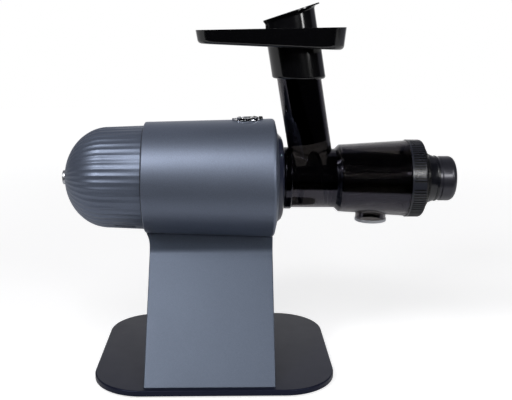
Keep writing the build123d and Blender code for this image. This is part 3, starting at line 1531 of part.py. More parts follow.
slope = radians(pusher_lip_slope)
lip_centre = chute_plane.from_local_coords((0, 0, pusher_top))
lip_plane = Plane(origin=lip_centre, x_dir=(cos(slope), 0, sin(slope)), z_dir=(-sin(slope), 0, cos(slope)))
head_start = tray_neck_top + pusher_seat_gap
head_reach = pusher_lip_radius * tan(slope - lean) + 10
with BuildPart() as pusher:
    with BuildSketch(chute_plane.offset(pusher_start)):
        Circle(pusher_radius)
    extrude(amount=head_start - pusher_start)
    with BuildSketch(chute_plane.offset(head_start)):
        Circle(pusher_head_radius)
    extrude(amount=pusher_top - head_start + head_reach)
    chamfer(pusher.faces().sort_by(Axis.Z)[0].edges(), length=1.0)
    split(bisect_by=lip_plane, keep=Keep.BOTTOM)
    with BuildSketch(lip_plane):
        with Locations((pusher_lip_offset, 0)):
            Circle(pusher_lip_radius)
    extrude(amount=-pusher_lip_thickness)
    under_lip = pusher.faces().filter_by(GeomType.PLANE).filter_by(
        lambda face: abs(face.normal_at().dot(lip_plane.z_dir) + 1) < 0.001)
    cove = under_lip.edges().filter_by(lambda edge: edge.length < 2 * pi * pusher_lip_radius - 1)
    fillet(cove, radius=pusher_lip_cove)
    with BuildSketch(chute_plane.offset(pusher_start + pusher_floor)):
        Circle(pusher_radius - pusher_wall)
    extrude(amount=pusher_top - pusher_start + head_reach, mode=Mode.SUBTRACT)
    with BuildSketch(chute_plane.offset(head_start + pusher_floor)):
        Circle(pusher_head_radius - pusher_wall)
    extrude(amount=pusher_top - head_start + head_reach, mode=Mode.SUBTRACT)
pusher.part.label = "pusher"
export_step(pusher.part, "parts/pusher.step")
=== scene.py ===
"""Cold press juicer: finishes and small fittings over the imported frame, in metres, +Z up."""

from math import atan2, cos, pi, radians, sin, sqrt

import bmesh
import bpy
from mathutils import Matrix, Vector


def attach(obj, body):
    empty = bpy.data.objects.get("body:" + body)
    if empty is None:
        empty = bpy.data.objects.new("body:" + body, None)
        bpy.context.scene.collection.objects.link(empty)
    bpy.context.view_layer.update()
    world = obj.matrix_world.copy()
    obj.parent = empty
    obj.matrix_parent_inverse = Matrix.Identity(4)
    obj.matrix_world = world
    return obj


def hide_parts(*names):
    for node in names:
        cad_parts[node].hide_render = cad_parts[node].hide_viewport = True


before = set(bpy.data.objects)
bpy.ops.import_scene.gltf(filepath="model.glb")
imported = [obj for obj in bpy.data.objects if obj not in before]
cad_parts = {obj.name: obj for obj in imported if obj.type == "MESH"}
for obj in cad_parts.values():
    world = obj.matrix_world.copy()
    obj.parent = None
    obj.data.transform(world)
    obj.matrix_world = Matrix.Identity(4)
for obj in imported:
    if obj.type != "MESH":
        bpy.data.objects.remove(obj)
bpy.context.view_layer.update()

# ---------------------------------------------------------------------------
# Studio: a pale table in a room that is white behind the object and dark in
# front of it. Broad lamps hang over the front and to both sides, two small
# ones stand low on the right, and a weak one lights the back.
# ---------------------------------------------------------------------------

scene = bpy.context.scene
scene.view_settings.view_transform = "Standard"

camera_place = Vector((-0.0366, -0.8860, 0.3864))
camera_yaw, camera_pitch, camera_roll = radians(2.11), radians(12.29), radians(0.54)
camera_data = bpy.data.cameras.new("camera")
camera_data.sensor_width = 36.0
camera_data.lens = 54.19
camera = bpy.data.objects.new("camera", camera_data)
scene.collection.objects.link(camera)
ahead = Vector((sin(camera_yaw) * cos(camera_pitch), cos(camera_yaw) * cos(camera_pitch),
                -sin(camera_pitch)))
level = Vector((cos(camera_yaw), -sin(camera_yaw), 0.0))
rise = level.cross(ahead)
right = cos(camera_roll) * level + sin(camera_roll) * rise
up = cos(camera_roll) * rise - sin(camera_roll) * level
camera.matrix_world = Matrix.Translation(camera_place) @ Matrix((right, up, -ahead)).transposed().to_4x4()
scene.camera = camera


def add_node(tree, kind, settings=None, values=None):
    """A new node with its settings made and its input values filled in."""
    made = tree.nodes.new(kind)
    for key, value in (settings or {}).items():
        setattr(made, key, value)
    for key, value in (values or {}).items():
        made.inputs[key].default_value = value
    return made


def lamp(name, place, target, size, watts, tint=(1.0, 1.0, 1.0)):
    """A rectangular soft lamp that faces a point."""
    data = bpy.data.lights.new(name, "AREA")
    data.shape = "RECTANGLE"
    data.size, data.size_y = size
    data.energy = watts
    data.color = tint
    made = bpy.data.objects.new(name, data)
    scene.collection.objects.link(made)
    made.location = place
    made.rotation_euler = (Vector(target) - Vector(place)).to_track_quat("-Z", "Y").to_euler()
    return made


middle = (0.0, 0.0, 0.22)
lamp("key_lamp", (-0.30, -1.08, 1.42), middle, (0.62, 0.60), 6.9)
lamp("right_lamp", (1.15, -1.10, 1.20), middle, (0.30, 0.45), 3.0)
lamp("left_lamp", (-0.90, -1.00, 1.24), (-0.17, 0.0, 0.22), (0.36, 0.36), 12.5)
lamp("strip_lamp", (0.50, -1.05, 0.69), (0.16, 0.0, 0.22), (0.20, 0.20), 3.0)
lamp("edge_lamp", (1.12, -0.92, 0.74), middle, (0.20, 0.40), 3.2)
lamp("back_lamp", (0.10, 1.30, 1.50), middle, (1.40, 0.70), 0.8)


def seen_share(tree, second_hand=1.0):
    """A mask of rays by which a background is seen: fully by the camera, and by the second-hand share
    in gloss and through clear parts."""
    paths = add_node(tree, "ShaderNodeLightPath")
    either = add_node(tree, "ShaderNodeMath", {"operation": "MAXIMUM"})
    share = add_node(tree, "ShaderNodeMath", {"operation": "MULTIPLY"}, {1: second_hand})
    all_three = add_node(tree, "ShaderNodeMath", {"operation": "MAXIMUM"})
    tree.links.new(paths.outputs["Is Transmission Ray"], either.inputs[0])
    tree.links.new(paths.outputs["Is Glossy Ray"], either.inputs[1])
    tree.links.new(either.outputs[0], share.inputs[0])
    tree.links.new(share.outputs[0], all_three.inputs[0])
    tree.links.new(paths.outputs["Is Camera Ray"], all_three.inputs[1])
    return paths, all_three


# The room: pale behind the object and dark in front of it, where the camera stands
world = bpy.data.worlds.new("studio")
scene.world = world
world.use_nodes = True
tree = world.node_tree
tree.nodes.clear()
sky_place = add_node(tree, "ShaderNodeTexCoord")
sky_parts = add_node(tree, "ShaderNodeSeparateXYZ")
sky_ramp = add_node(tree, "ShaderNodeValToRGB")
sky_ramp.color_ramp.elements[0].position = 0.17
sky_ramp.color_ramp.elements[0].color = (0.012, 0.012, 0.014, 1.0)
sky_ramp.color_ramp.elements[1].position = 0.97
sky_ramp.color_ramp.elements[1].color = (1.0, 1.0, 1.0, 1.0)
sky_ramp.color_ramp.elements.new(0.30).color = (0.16, 0.16, 0.19, 1.0)
sky_ramp.color_ramp.elements.new(0.78).color = (0.14, 0.14, 0.16, 1.0)
sky_light = add_node(tree, "ShaderNodeBackground", values={"Strength": 0.55})
sky_seen = add_node(tree, "ShaderNodeBackground", values={"Strength": 1.0})
sky_white = add_node(tree, "ShaderNodeBackground", values={"Color": (1, 1, 1, 1), "Strength": 1.0})
sky_paths, sky_share = seen_share(tree)
sky_gloss = add_node(tree, "ShaderNodeMixShader")
sky_mix = add_node(tree, "ShaderNodeMixShader")
sky_out = add_node(tree, "ShaderNodeOutputWorld")
tree.links.new(sky_place.outputs["Generated"], sky_parts.inputs[0])
tree.links.new(sky_parts.outputs["Y"], sky_ramp.inputs["Fac"])
tree.links.new(sky_ramp.outputs["Color"], sky_light.inputs["Color"])
tree.links.new(sky_ramp.outputs["Color"], sky_seen.inputs["Color"])
tree.links.new(sky_share.outputs[0], sky_gloss.inputs[0])
tree.links.new(sky_light.outputs[0], sky_gloss.inputs[1])
tree.links.new(sky_seen.outputs[0], sky_gloss.inputs[2])
tree.links.new(sky_paths.outputs["Is Camera Ray"], sky_mix.inputs[0])
tree.links.new(sky_gloss.outputs[0], sky_mix.inputs[1])
tree.links.new(sky_white.outputs[0], sky_mix.inputs[2])
tree.links.new(sky_mix.outputs[0], sky_out.inputs["Surface"])

# The table: pale round the object, running into the dark of the room far in front of it
bpy.ops.object.select_all(action="DESELECT")
bpy.ops.mesh.primitive_plane_add(size=6.0, location=(0, 0, -0.0002))
floor = bpy.context.object
floor.name = "floor"
floor_material = bpy.data.materials.new("table_top")
floor_material.use_nodes = True
tree = floor_material.node_tree
tree.nodes.clear()
floor_diffuse = add_node(tree, "ShaderNodeBsdfDiffuse")
floor_shade = add_node(tree, "ShaderNodeVectorMath", {"operation": "SCALE"}, {0: (0.50, 0.50, 0.51)})
floor_place = add_node(tree, "ShaderNodeTexCoord")
floor_parts = add_node(tree, "ShaderNodeSeparateXYZ")
floor_fade = add_node(tree, "ShaderNodeMapRange", {"interpolation_type": "SMOOTHSTEP"},
                      {"From Min": -0.34, "From Max": -0.26})
floor_camera = add_node(tree, "ShaderNodeMath", {"operation": "MAXIMUM"})
floor_amount = add_node(tree, "ShaderNodeMath", {"operation": "MULTIPLY"})
floor_glow = add_node(tree, "ShaderNodeEmission", values={"Color": (1, 1, 1, 1)})
floor_reach = add_node(tree, "ShaderNodeVectorMath", {"operation": "LENGTH"})
floor_level = add_node(tree, "ShaderNodeMapRange", {"interpolation_type": "SMOOTHSTEP"},
                       {"From Min": 0.25, "From Max": 2.2, "To Min": 0.74, "To Max": 0.97})
floor_strength = add_node(tree, "ShaderNodeMath", {"operation": "MULTIPLY"})
floor_paths, floor_share = seen_share(tree, second_hand=0.42)
floor_gain = add_node(tree, "ShaderNodeAddShader")
floor_out = add_node(tree, "ShaderNodeOutputMaterial")
tree.links.new(floor_place.outputs["Object"], floor_parts.inputs[0])
tree.links.new(floor_parts.outputs["Y"], floor_fade.inputs["Value"])
tree.links.new(floor_fade.outputs[0], floor_camera.inputs[0])
tree.links.new(floor_paths.outputs["Is Camera Ray"], floor_camera.inputs[1])
tree.links.new(floor_camera.outputs[0], floor_amount.inputs[0])
tree.links.new(floor_camera.outputs[0], floor_shade.inputs["Scale"])
tree.links.new(floor_shade.outputs[0], floor_diffuse.inputs["Color"])
tree.links.new(floor_share.outputs[0], floor_amount.inputs[1])
tree.links.new(floor_place.outputs["Object"], floor_reach.inputs[0])
tree.links.new(floor_reach.outputs["Value"], floor_level.inputs["Value"])
tree.links.new(floor_level.outputs[0], floor_strength.inputs[1])
tree.links.new(floor_amount.outputs[0], floor_strength.inputs[0])
tree.links.new(floor_strength.outputs[0], floor_glow.inputs["Strength"])
tree.links.new(floor_diffuse.outputs[0], floor_gain.inputs[0])
tree.links.new(floor_glow.outputs[0], floor_gain.inputs[1])
tree.links.new(floor_gain.outputs[0], floor_out.inputs["Surface"])
floor.data.materials.append(floor_material)

# ---------------------------------------------------------------------------
# Base plate: one thick moulded slab with round corners, in dark navy gloss
# lacquer. Dust settles on its flat top and hands leave faint smears on it.
# ---------------------------------------------------------------------------


def srgb(red, green, blue):
    """Linear colour of an 8-bit display colour."""
    def one(value):
        share = value / 255
        return share / 12.92 if share <= 0.04045 else ((share + 0.055) / 1.055) ** 2.4
    return (one(red), one(green), one(blue), 1.0)


def new_group(name, inputs, outputs):
    """An empty shader node group with named sockets, and its inner input and output nodes."""
    group = bpy.data.node_groups.new(name, "ShaderNodeTree")
    for label, kind, default in inputs:
        socket = group.interface.new_socket(name=label, in_out="INPUT", socket_type=kind)
        if default is not None:
            socket.default_value = default
    for label, kind in outputs:
        group.interface.new_socket(name=label, in_out="OUTPUT", socket_type=kind)
    return group, group.nodes.new("NodeGroupInput"), group.nodes.new("NodeGroupOutput")


# Skin of a moulded or sprayed surface: a cloudy change of tone, a change of gloss, fine grain
skin_group, skin_in, skin_out = new_group(
    "moulded_skin",
    [("Place", "NodeSocketVector", None), ("Color", "NodeSocketColor", None),
     ("Tone", "NodeSocketFloat", 0.05), ("Gloss", "NodeSocketFloat", 0.3),
     ("Smear", "NodeSocketFloat", 0.05), ("Grain", "NodeSocketFloat", 900.0)],
    [("Color", "NodeSocketColor"), ("Roughness", "NodeSocketFloat"), ("Height", "NodeSocketFloat")])
cloud = add_node(skin_group, "ShaderNodeTexNoise", values={"Scale": 14.0, "Detail": 4.0, "Roughness": 0.55})
smear = add_node(skin_group, "ShaderNodeTexNoise", values={"Scale": 45.0, "Detail": 5.0, "Roughness": 0.65})
grain = add_node(skin_group, "ShaderNodeTexNoise", values={"Detail": 2.0})
cloud_range = add_node(skin_group, "ShaderNodeMapRange", values={"To Min": -1.0, "To Max": 1.0})
cloud_gain = add_node(skin_group, "ShaderNodeMath", {"operation": "MULTIPLY_ADD"}, {2: 1.0})
shade = add_node(skin_group, "ShaderNodeVectorMath", {"operation": "SCALE"})
smear_range = add_node(skin_group, "ShaderNodeMapRange", values={"To Min": -1.0, "To Max": 1.0})
smear_gain = add_node(skin_group, "ShaderNodeMath", {"operation": "MULTIPLY_ADD"})
link = skin_group.links.new
link(skin_in.outputs["Place"], cloud.inputs["Vector"])
link(skin_in.outputs["Place"], smear.inputs["Vector"])
link(skin_in.outputs["Place"], grain.inputs["Vector"])
link(skin_in.outputs["Grain"], grain.inputs["Scale"])
link(cloud.outputs["Fac"], cloud_range.inputs["Value"])
link(cloud_range.outputs[0], cloud_gain.inputs[0])
link(skin_in.outputs["Tone"], cloud_gain.inputs[1])
link(skin_in.outputs["Color"], shade.inputs[0])
link(cloud_gain.outputs[0], shade.inputs["Scale"])
link(smear.outputs["Fac"], smear_range.inputs["Value"])
link(smear_range.outputs[0], smear_gain.inputs[0])
link(skin_in.outputs["Smear"], smear_gain.inputs[1])
link(skin_in.outputs["Gloss"], smear_gain.inputs[2])
link(shade.outputs[0], skin_out.inputs["Color"])
link(smear_gain.outputs[0], skin_out.inputs["Roughness"])
link(grain.outputs["Fac"], skin_out.inputs["Height"])


def moulded(name, color, gloss, tone=0.05, smear=0.05, grain=900.0, relief=0.00002, edge=0.0004,
            settings=None):
    """A sprayed or moulded finish: skin group, fine relief and softened edges under one shader."""
    material = bpy.data.materials.new(name)
    material.use_nodes = True
    tree = material.node_tree
    shader = tree.nodes["Principled BSDF"]
    for key, value in (settings or {}).items():
        shader.inputs[key].default_value = value
    place = add_node(tree, "ShaderNodeTexCoord")
    skin = add_node(tree, "ShaderNodeGroup", {"node_tree": skin_group},
                    {"Color": color, "Tone": tone, "Gloss": gloss, "Smear": smear, "Grain": grain})
    bump = add_node(tree, "ShaderNodeBump", values={"Strength": 0.6, "Distance": relief})
    rounding = add_node(tree, "ShaderNodeBevel", {"samples": 4}, {"Radius": edge})
    tree.links.new(place.outputs["Object"], skin.inputs["Place"])
    tree.links.new(skin.outputs["Color"], shader.inputs["Base Color"])
    tree.links.new(skin.outputs["Roughness"], shader.inputs["Roughness"])
    tree.links.new(skin.outputs["Height"], bump.inputs["Height"])
    tree.links.new(rounding.outputs[0], bump.inputs["Normal"])
    tree.links.new(bump.outputs[0], shader.inputs["Normal"])
    return material


def dress(material, *nodes):
    """Gives CAD nodes their finish."""
    for name in nodes:
        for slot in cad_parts[name].material_slots:
            slot.material = material


base_lacquer = moulded("base_navy_lacquer", srgb(22, 24, 38), 0.36, tone=0.08, smear=0.06,
                       settings={"Specular IOR Level": 0.2, "Specular Tint": (0.55, 0.62, 1.0, 1.0)})
dress(base_lacquer, "base_plate")

# ---------------------------------------------------------------------------
# Rubber feet and the screws that hold the stand down: dull black rubber pads
# pressed under the plate, and zinc plated countersunk screws between them.
# ---------------------------------------------------------------------------

foot_rubber = moulded("foot_rubber", srgb(30, 30, 31), 0.75, tone=0.12, grain=1500.0, relief=0.00006)
dress(foot_rubber, "rubber_feet")


# Marks of a tool: fine lines stretched along one direction, for turned, drawn or ground metal
line_group, line_in, line_out = new_group(
    "tool_lines",
    [("Place", "NodeSocketVector", None), ("Color", "NodeSocketColor", None),
     ("Gloss", "NodeSocketFloat", 0.3), ("Spread", "NodeSocketFloat", 0.08)],
    [("Color", "NodeSocketColor"), ("Roughness", "NodeSocketFloat"), ("Height", "NodeSocketFloat")])
lines = add_node(line_group, "ShaderNodeTexNoise", values={"Scale": 1.0, "Detail": 3.0, "Roughness": 0.6})
stain = add_node(line_group, "ShaderNodeTexNoise", values={"Scale": 0.05, "Detail": 3.0})
line_range = add_node(line_group, "ShaderNodeMapRange", values={"To Min": -1.0, "To Max": 1.0})
line_gain = add_node(line_group, "ShaderNodeMath", {"operation": "MULTIPLY_ADD"})
stain_range = add_node(line_group, "ShaderNodeMapRange", values={"To Min": 0.85, "To Max": 1.08})
line_shade = add_node(line_group, "ShaderNodeVectorMath", {"operation": "SCALE"})
link = line_group.links.new
link(line_in.outputs["Place"], lines.inputs["Vector"])
link(line_in.outputs["Place"], stain.inputs["Vector"])
link(lines.outputs["Fac"], line_range.inputs["Value"])
link(line_range.outputs[0], line_gain.inputs[0])
link(line_in.outputs["Spread"], line_gain.inputs[1])
link(line_in.outputs["Gloss"], line_gain.inputs[2])
link(stain.outputs["Fac"], stain_range.inputs["Value"])
link(line_in.outputs["Color"], line_shade.inputs[0])
link(stain_range.outputs[0], line_shade.inputs["Scale"])
link(line_shade.outputs[0], line_out.inputs["Color"])
link(line_gain.outputs[0], line_out.inputs["Roughness"])
link(lines.outputs["Fac"], line_out.inputs["Height"])


def worked_metal(name, color, gloss, stretch, spread=0.08, relief=0.00001, edge=0.0003, settings=None):
    """Bare metal with tool lines; stretch is the pattern's scale along X, Y and Z."""
    material = bpy.data.materials.new(name)
    material.use_nodes = True
    tree = material.node_tree
    shader = tree.nodes["Principled BSDF"]
    shader.inputs["Metallic"].default_value = 1.0
    for key, value in (settings or {}).items():
        shader.inputs[key].default_value = value
    place = add_node(tree, "ShaderNodeTexCoord")
    mapping = add_node(tree, "ShaderNodeMapping", values={"Scale": stretch})
    marks = add_node(tree, "ShaderNodeGroup", {"node_tree": line_group},
                     {"Color": color, "Gloss": gloss, "Spread": spread})
    bump = add_node(tree, "ShaderNodeBump", values={"Strength": 0.5, "Distance": relief})
    rounding = add_node(tree, "ShaderNodeBevel", {"samples": 4}, {"Radius": edge})
    tree.links.new(place.outputs["Object"], mapping.inputs["Vector"])
    tree.links.new(mapping.outputs[0], marks.inputs["Place"])
    tree.links.new(marks.outputs["Color"], shader.inputs["Base Color"])
    tree.links.new(marks.outputs["Roughness"], shader.inputs["Roughness"])
    tree.links.new(marks.outputs["Height"], bump.inputs["Height"])
    tree.links.new(rounding.outputs[0], bump.inputs["Normal"])
    tree.links.new(bump.outputs[0], shader.inputs["Normal"])
    return material


screw_zinc = worked_metal("screw_zinc", srgb(176, 178, 182), 0.32, (300, 300, 1500))
dress(screw_zinc, "base_screws", "saddle_screws", "inlet_screws", "cover_screws", "motor_bolts")

# ---------------------------------------------------------------------------
# Stand: a die-cast shell sprayed in the same silver blue lacquer as the body,
# a little duller. Fine metal flake in the lacquer gives it a soft sparkle.
# ---------------------------------------------------------------------------

flake_group, flake_in, flake_out = new_group(
    "metal_flake",
    [("Place", "NodeSocketVector", None), ("Color", "NodeSocketColor", None),
     ("Sparkle", "NodeSocketFloat", 0.12), ("Gloss", "NodeSocketFloat", 0.35)],
    [("Color", "NodeSocketColor"), ("Roughness", "NodeSocketFloat"), ("Height", "NodeSocketFloat")])
flakes = add_node(flake_group, "ShaderNodeTexVoronoi", values={"Scale": 2600.0})
flake_tone = add_node(flake_group, "ShaderNodeSeparateColor")
flake_range = add_node(flake_group, "ShaderNodeMapRange", values={"To Min": -1.0, "To Max": 1.0})
flake_gain = add_node(flake_group, "ShaderNodeMath", {"operation": "MULTIPLY_ADD"}, {2: 1.0})
flake_shade = add_node(flake_group, "ShaderNodeVectorMath", {"operation": "SCALE"})
mist = add_node(flake_group, "ShaderNodeTexNoise", values={"Scale": 30.0, "Detail": 4.0})
mist_range = add_node(flake_group, "ShaderNodeMapRange", values={"To Min": -0.04, "To Max": 0.04})
mist_sum = add_node(flake_group, "ShaderNodeMath", {"operation": "ADD"})
link = flake_group.links.new
link(flake_in.outputs["Place"], flakes.inputs["Vector"])
link(flake_in.outputs["Place"], mist.inputs["Vector"])
link(flakes.outputs["Color"], flake_tone.inputs[0])
link(flake_tone.outputs[0], flake_range.inputs["Value"])
link(flake_range.outputs[0], flake_gain.inputs[0])
link(flake_in.outputs["Sparkle"], flake_gain.inputs[1])
link(flake_in.outputs["Color"], flake_shade.inputs[0])
link(flake_gain.outputs[0], flake_shade.inputs["Scale"])
link(mist.outputs["Fac"], mist_range.inputs["Value"])
link(mist_range.outputs[0], mist_sum.inputs[0])
link(flake_in.outputs["Gloss"], mist_sum.inputs[1])
link(flake_shade.outputs[0], flake_out.inputs["Color"])
link(mist_sum.outputs[0], flake_out.inputs["Roughness"])
link(flake_tone.outputs[1], flake_out.inputs["Height"])


def metallic_lacquer(name, color, gloss, sparkle=0.12, edge=0.0006, settings=None):
    """Sprayed lacquer with metal flake under a clear coat."""
    material = bpy.data.materials.new(name)
    material.use_nodes = True
    tree = material.node_tree
    shader = tree.nodes["Principled BSDF"]
    for key, value in (settings or {}).items():
        shader.inputs[key].default_value = value
    place = add_node(tree, "ShaderNodeTexCoord")
    flake = add_node(tree, "ShaderNodeGroup", {"node_tree": flake_group},
                     {"Color": color, "Sparkle": sparkle, "Gloss": gloss})
    bump = add_node(tree, "ShaderNodeBump", values={"Strength": 0.25, "Distance": 0.000004})
    rounding = add_node(tree, "ShaderNodeBevel", {"samples": 4}, {"Radius": edge})
    tree.links.new(place.outputs["Object"], flake.inputs["Place"])
    tree.links.new(flake.outputs["Color"], shader.inputs["Base Color"])
    tree.links.new(flake.outputs["Roughness"], shader.inputs["Roughness"])
    tree.links.new(flake.outputs["Height"], bump.inputs["Height"])
    tree.links.new(rounding.outputs[0], bump.inputs["Normal"])
    tree.links.new(bump.outputs[0], shader.inputs["Normal"])
    return material


stand_lacquer = metallic_lacquer("stand_lacquer", srgb(83, 92, 108), 0.46,
                                 settings={"Metallic": 0.6, "Coat Weight": 0.1, "Coat Roughness": 0.4})
dress(stand_lacquer, "stand_shell")

# ---------------------------------------------------------------------------
# Power inlet: a black thermoplastic appliance inlet with three flat pins,
# held in the rear of the stand by two screws.
# ---------------------------------------------------------------------------

inlet_plastic = moulded("inlet_black", srgb(26, 26, 27), 0.5, tone=0.1, relief=0.00004)
dress(inlet_plastic, "power_inlet", "switch_block")

# ---------------------------------------------------------------------------
# Body shell: a tapered die-cast barrel in silver blue metallic lacquer with a
# clear coat, rolled over in a soft round at its front.
# ---------------------------------------------------------------------------

body_lacquer = metallic_lacquer("body_lacquer", srgb(113, 122, 140), 0.47,
                                settings={"Metallic": 0.7, "Coat Weight": 0.1, "Coat Roughness": 0.35})
dress(body_lacquer, "body_shell")

# ---------------------------------------------------------------------------
# Rear dome: a fluted cap in the same lacquer, drawn tight on to a thin rubber
# ring by one satin metal nut at its pole.
# ---------------------------------------------------------------------------

dome_lacquer = metallic_lacquer("dome_lacquer", srgb(108, 117, 135), 0.46,
                                settings={"Metallic": 0.7, "Coat Weight": 0.1, "Coat Roughness": 0.35})
dress(dome_lacquer, "rear_dome")


def pick(piece, mode, test):
    """In edit mode, selects the points, edges or faces that pass a test on their middle."""
    bpy.ops.mesh.select_mode(type=mode)
    bpy.ops.mesh.select_all(action="DESELECT")
    mesh = bmesh.from_edit_mesh(piece.data)
    if mode == "VERT":
        for point in mesh.verts:
            point.select = test(point.co)
    elif mode == "EDGE":
        for line in mesh.edges:
            line.select = test((line.verts[0].co + line.verts[1].co) / 2)
    else:
        for face in mesh.faces:
            face.select = test(face.calc_center_median())
    mesh.select_flush_mode()
    bmesh.update_edit_mesh(piece.data)


def start(name):
    """Names the primitive that was just added, puts its place into its mesh and opens it for edit."""
    piece = bpy.context.object
    piece.name = name
    bpy.ops.object.transform_apply(location=True, rotation=True, scale=True)
    bpy.ops.object.mode_set(mode="EDIT")
    return piece


def done(piece, material, body, corner=30):
    """Leaves edit mode with clean outward normals, smooths, colours and hangs the piece on its body."""
    bpy.ops.mesh.select_mode(type="VERT")
    bpy.ops.mesh.select_all(action="SELECT")
    bpy.ops.mesh.remove_doubles(threshold=0.000002)
    bpy.ops.mesh.normals_make_consistent(inside=False)
    bpy.ops.object.mode_set(mode="OBJECT")
    bpy.ops.object.shade_smooth_by_angle(angle=radians(corner))
    piece.data.materials.clear()
    piece.data.materials.append(material)
    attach(piece, body)


def apply_modifier(piece, kind, **settings):
    """Adds one modifier to a piece and applies it."""
    modifier = piece.modifiers.new(kind.lower(), kind)
    for key, value in settings.items():
        setattr(modifier, key, value)
    bpy.ops.object.modifier_apply(modifier=modifier.name)


axis_height = 0.220
flutes = 48
points_per_flute = 10
dome_radius, dome_depth = 0.0584, 0.0511
skirt_length, skirt_radius = 0.041, 0.060157
skirt_steps = 12
flute_depth = 0.0008
flute_fade = 0.058
flute_turn = radians(3)
flute_taper = 1.5
nut_hole_radius = 0.0092
skin_thickness = 0.0028
sphere_rings = 92
nearly = 0.00001
dome_box = [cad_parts["rear_dome"].matrix_world @ Vector(corner)
            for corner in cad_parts["rear_dome"].bound_box]
dome_bend_x = min(corner.x for corner in dome_box) + dome_depth

bpy.ops.object.select_all(action="DESELECT")
bpy.ops.mesh.primitive_uv_sphere_add(
    segments=flutes * points_per_flute, ring_count=sphere_rings, radius=1.0,
    location=(dome_bend_x, 0, axis_height), rotation=(0, pi / 2, 0),
    scale=(dome_radius, dome_radius, dome_depth))
dome = start("fluted_dome")
pick(dome, "VERT", lambda co: co.x > dome_bend_x + nearly)
bpy.ops.mesh.delete(type="VERT")
pick(dome, "VERT", lambda co: sqrt(co.y ** 2 + (co.z - axis_height) ** 2) < nut_hole_radius)
bpy.ops.mesh.delete(type="VERT")
pick(dome, "EDGE", lambda co: co.x > dome_bend_x - nearly)
ring_growth = (skirt_radius / dome_radius) ** (1 / skirt_steps)
for step in range(skirt_steps):
    bpy.ops.mesh.extrude_region_move(TRANSFORM_OT_translate={"value": (skirt_length / skirt_steps, 0, 0)})
    bpy.ops.transform.resize(value=(1, ring_growth, ring_growth),
                             center_override=(dome_bend_x, 0, axis_height))
bpy.ops.object.mode_set(mode="OBJECT")

# Each flute is a round valley: full depth at the shoulder, narrower and shallower towards the pole,
# and fading out along the skirt
flute_group = dome.vertex_groups.new(name="flute_depth")
for point in dome.data.vertices:
    height = point.co.z - axis_height
    reach = sqrt(point.co.y ** 2 + height ** 2)
    share = ((atan2(point.co.y, height) + flute_turn) / (2 * pi) * flutes) % 1.0
    valley = 0.5 * (0.5 - 0.5 * cos(2 * pi * share)) + 0.5 * (1 - (2 * share - 1) ** 2)
    along = max(0.0, min(1.0, 1 - (point.co.x - dome_bend_x) / flute_fade))
    near_pole = max(0.0, (reach - nut_hole_radius) / (dome_radius - nut_hole_radius))
    fade = along * min(1.0, near_pole) ** flute_taper
    flute_group.add([point.index], valley * fade, "REPLACE")
apply_modifier(dome, "DISPLACE", strength=-flute_depth, mid_level=0.0, direction="NORMAL",
               vertex_group="flute_depth")
apply_modifier(dome, "SOLIDIFY", thickness=skin_thickness, offset=-1.0)
dome.vertex_groups.clear()

# Air inlets: ten round-ended slots through the lowest flutes
slot_x, slot_reach = -0.1538, 0.0585
slot_length, slot_width, slot_depth = 0.024, 0.0026, 0.012
slot_count = 10
bpy.ops.object.select_all(action="DESELECT")
bpy.ops.mesh.primitive_cube_add(size=1.0, location=(slot_x, 0, axis_height))
slots = start("slot_cutter")
bpy.ops.mesh.select_all(action="SELECT")
bpy.ops.mesh.delete(type="VERT")
for number in range(slot_count):
    turn = 2 * pi / flutes * (number + 0.5 - slot_count / 2) + flute_turn
    bpy.ops.mesh.primitive_cube_add(
        size=1.0, rotation=(turn, 0, 0), scale=(slot_length, slot_width, slot_depth),
        location=(slot_x, slot_reach * sin(turn), axis_height - slot_reach * cos(turn)))
pick(slots, "EDGE", lambda co: abs(abs(co.x - slot_x) - slot_length / 2) < 0.0001
     and abs(sqrt(co.y ** 2 + (co.z - axis_height) ** 2) - slot_reach) < 0.0005)
bpy.ops.mesh.bevel(offset=0.49 * slot_width, segments=5, affect="EDGES")
bpy.ops.object.mode_set(mode="OBJECT")
bpy.ops.object.select_all(action="DESELECT")
bpy.context.view_layer.objects.active = dome
dome.select_set(True)
apply_modifier(dome, "BOOLEAN", object=slots, operation="DIFFERENCE", solver="EXACT")
bpy.data.objects.remove(slots)
bpy.ops.object.mode_set(mode="EDIT")
done(dome, dome_lacquer, "machine", corner=50)
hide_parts("rear_dome")
seal_rubber = moulded("seal_rubber", srgb(34, 34, 36), 0.6, tone=0.1, relief=0.00004)
dress(seal_rubber, "dome_seal", "drum_seal", "cap_seal", "shaft_seal")
polished = worked_metal("polished_chrome", srgb(205, 207, 212), 0.08, (500, 500, 500), spread=0.03)
dress(polished, "switch_bezel", "switch_plate")
nut_satin = worked_metal("nut_satin", srgb(196, 198, 203), 0.42, (500, 500, 500), spread=0.05)
dress(nut_satin, "rear_cap_nut")

# ---------------------------------------------------------------------------
# Front cover: a dark navy moulding round the bayonet socket.
# ---------------------------------------------------------------------------

cover_navy = moulded("cover_navy", srgb(38, 42, 60), 0.3, tone=0.08)
dress(cover_navy, "front_cover")

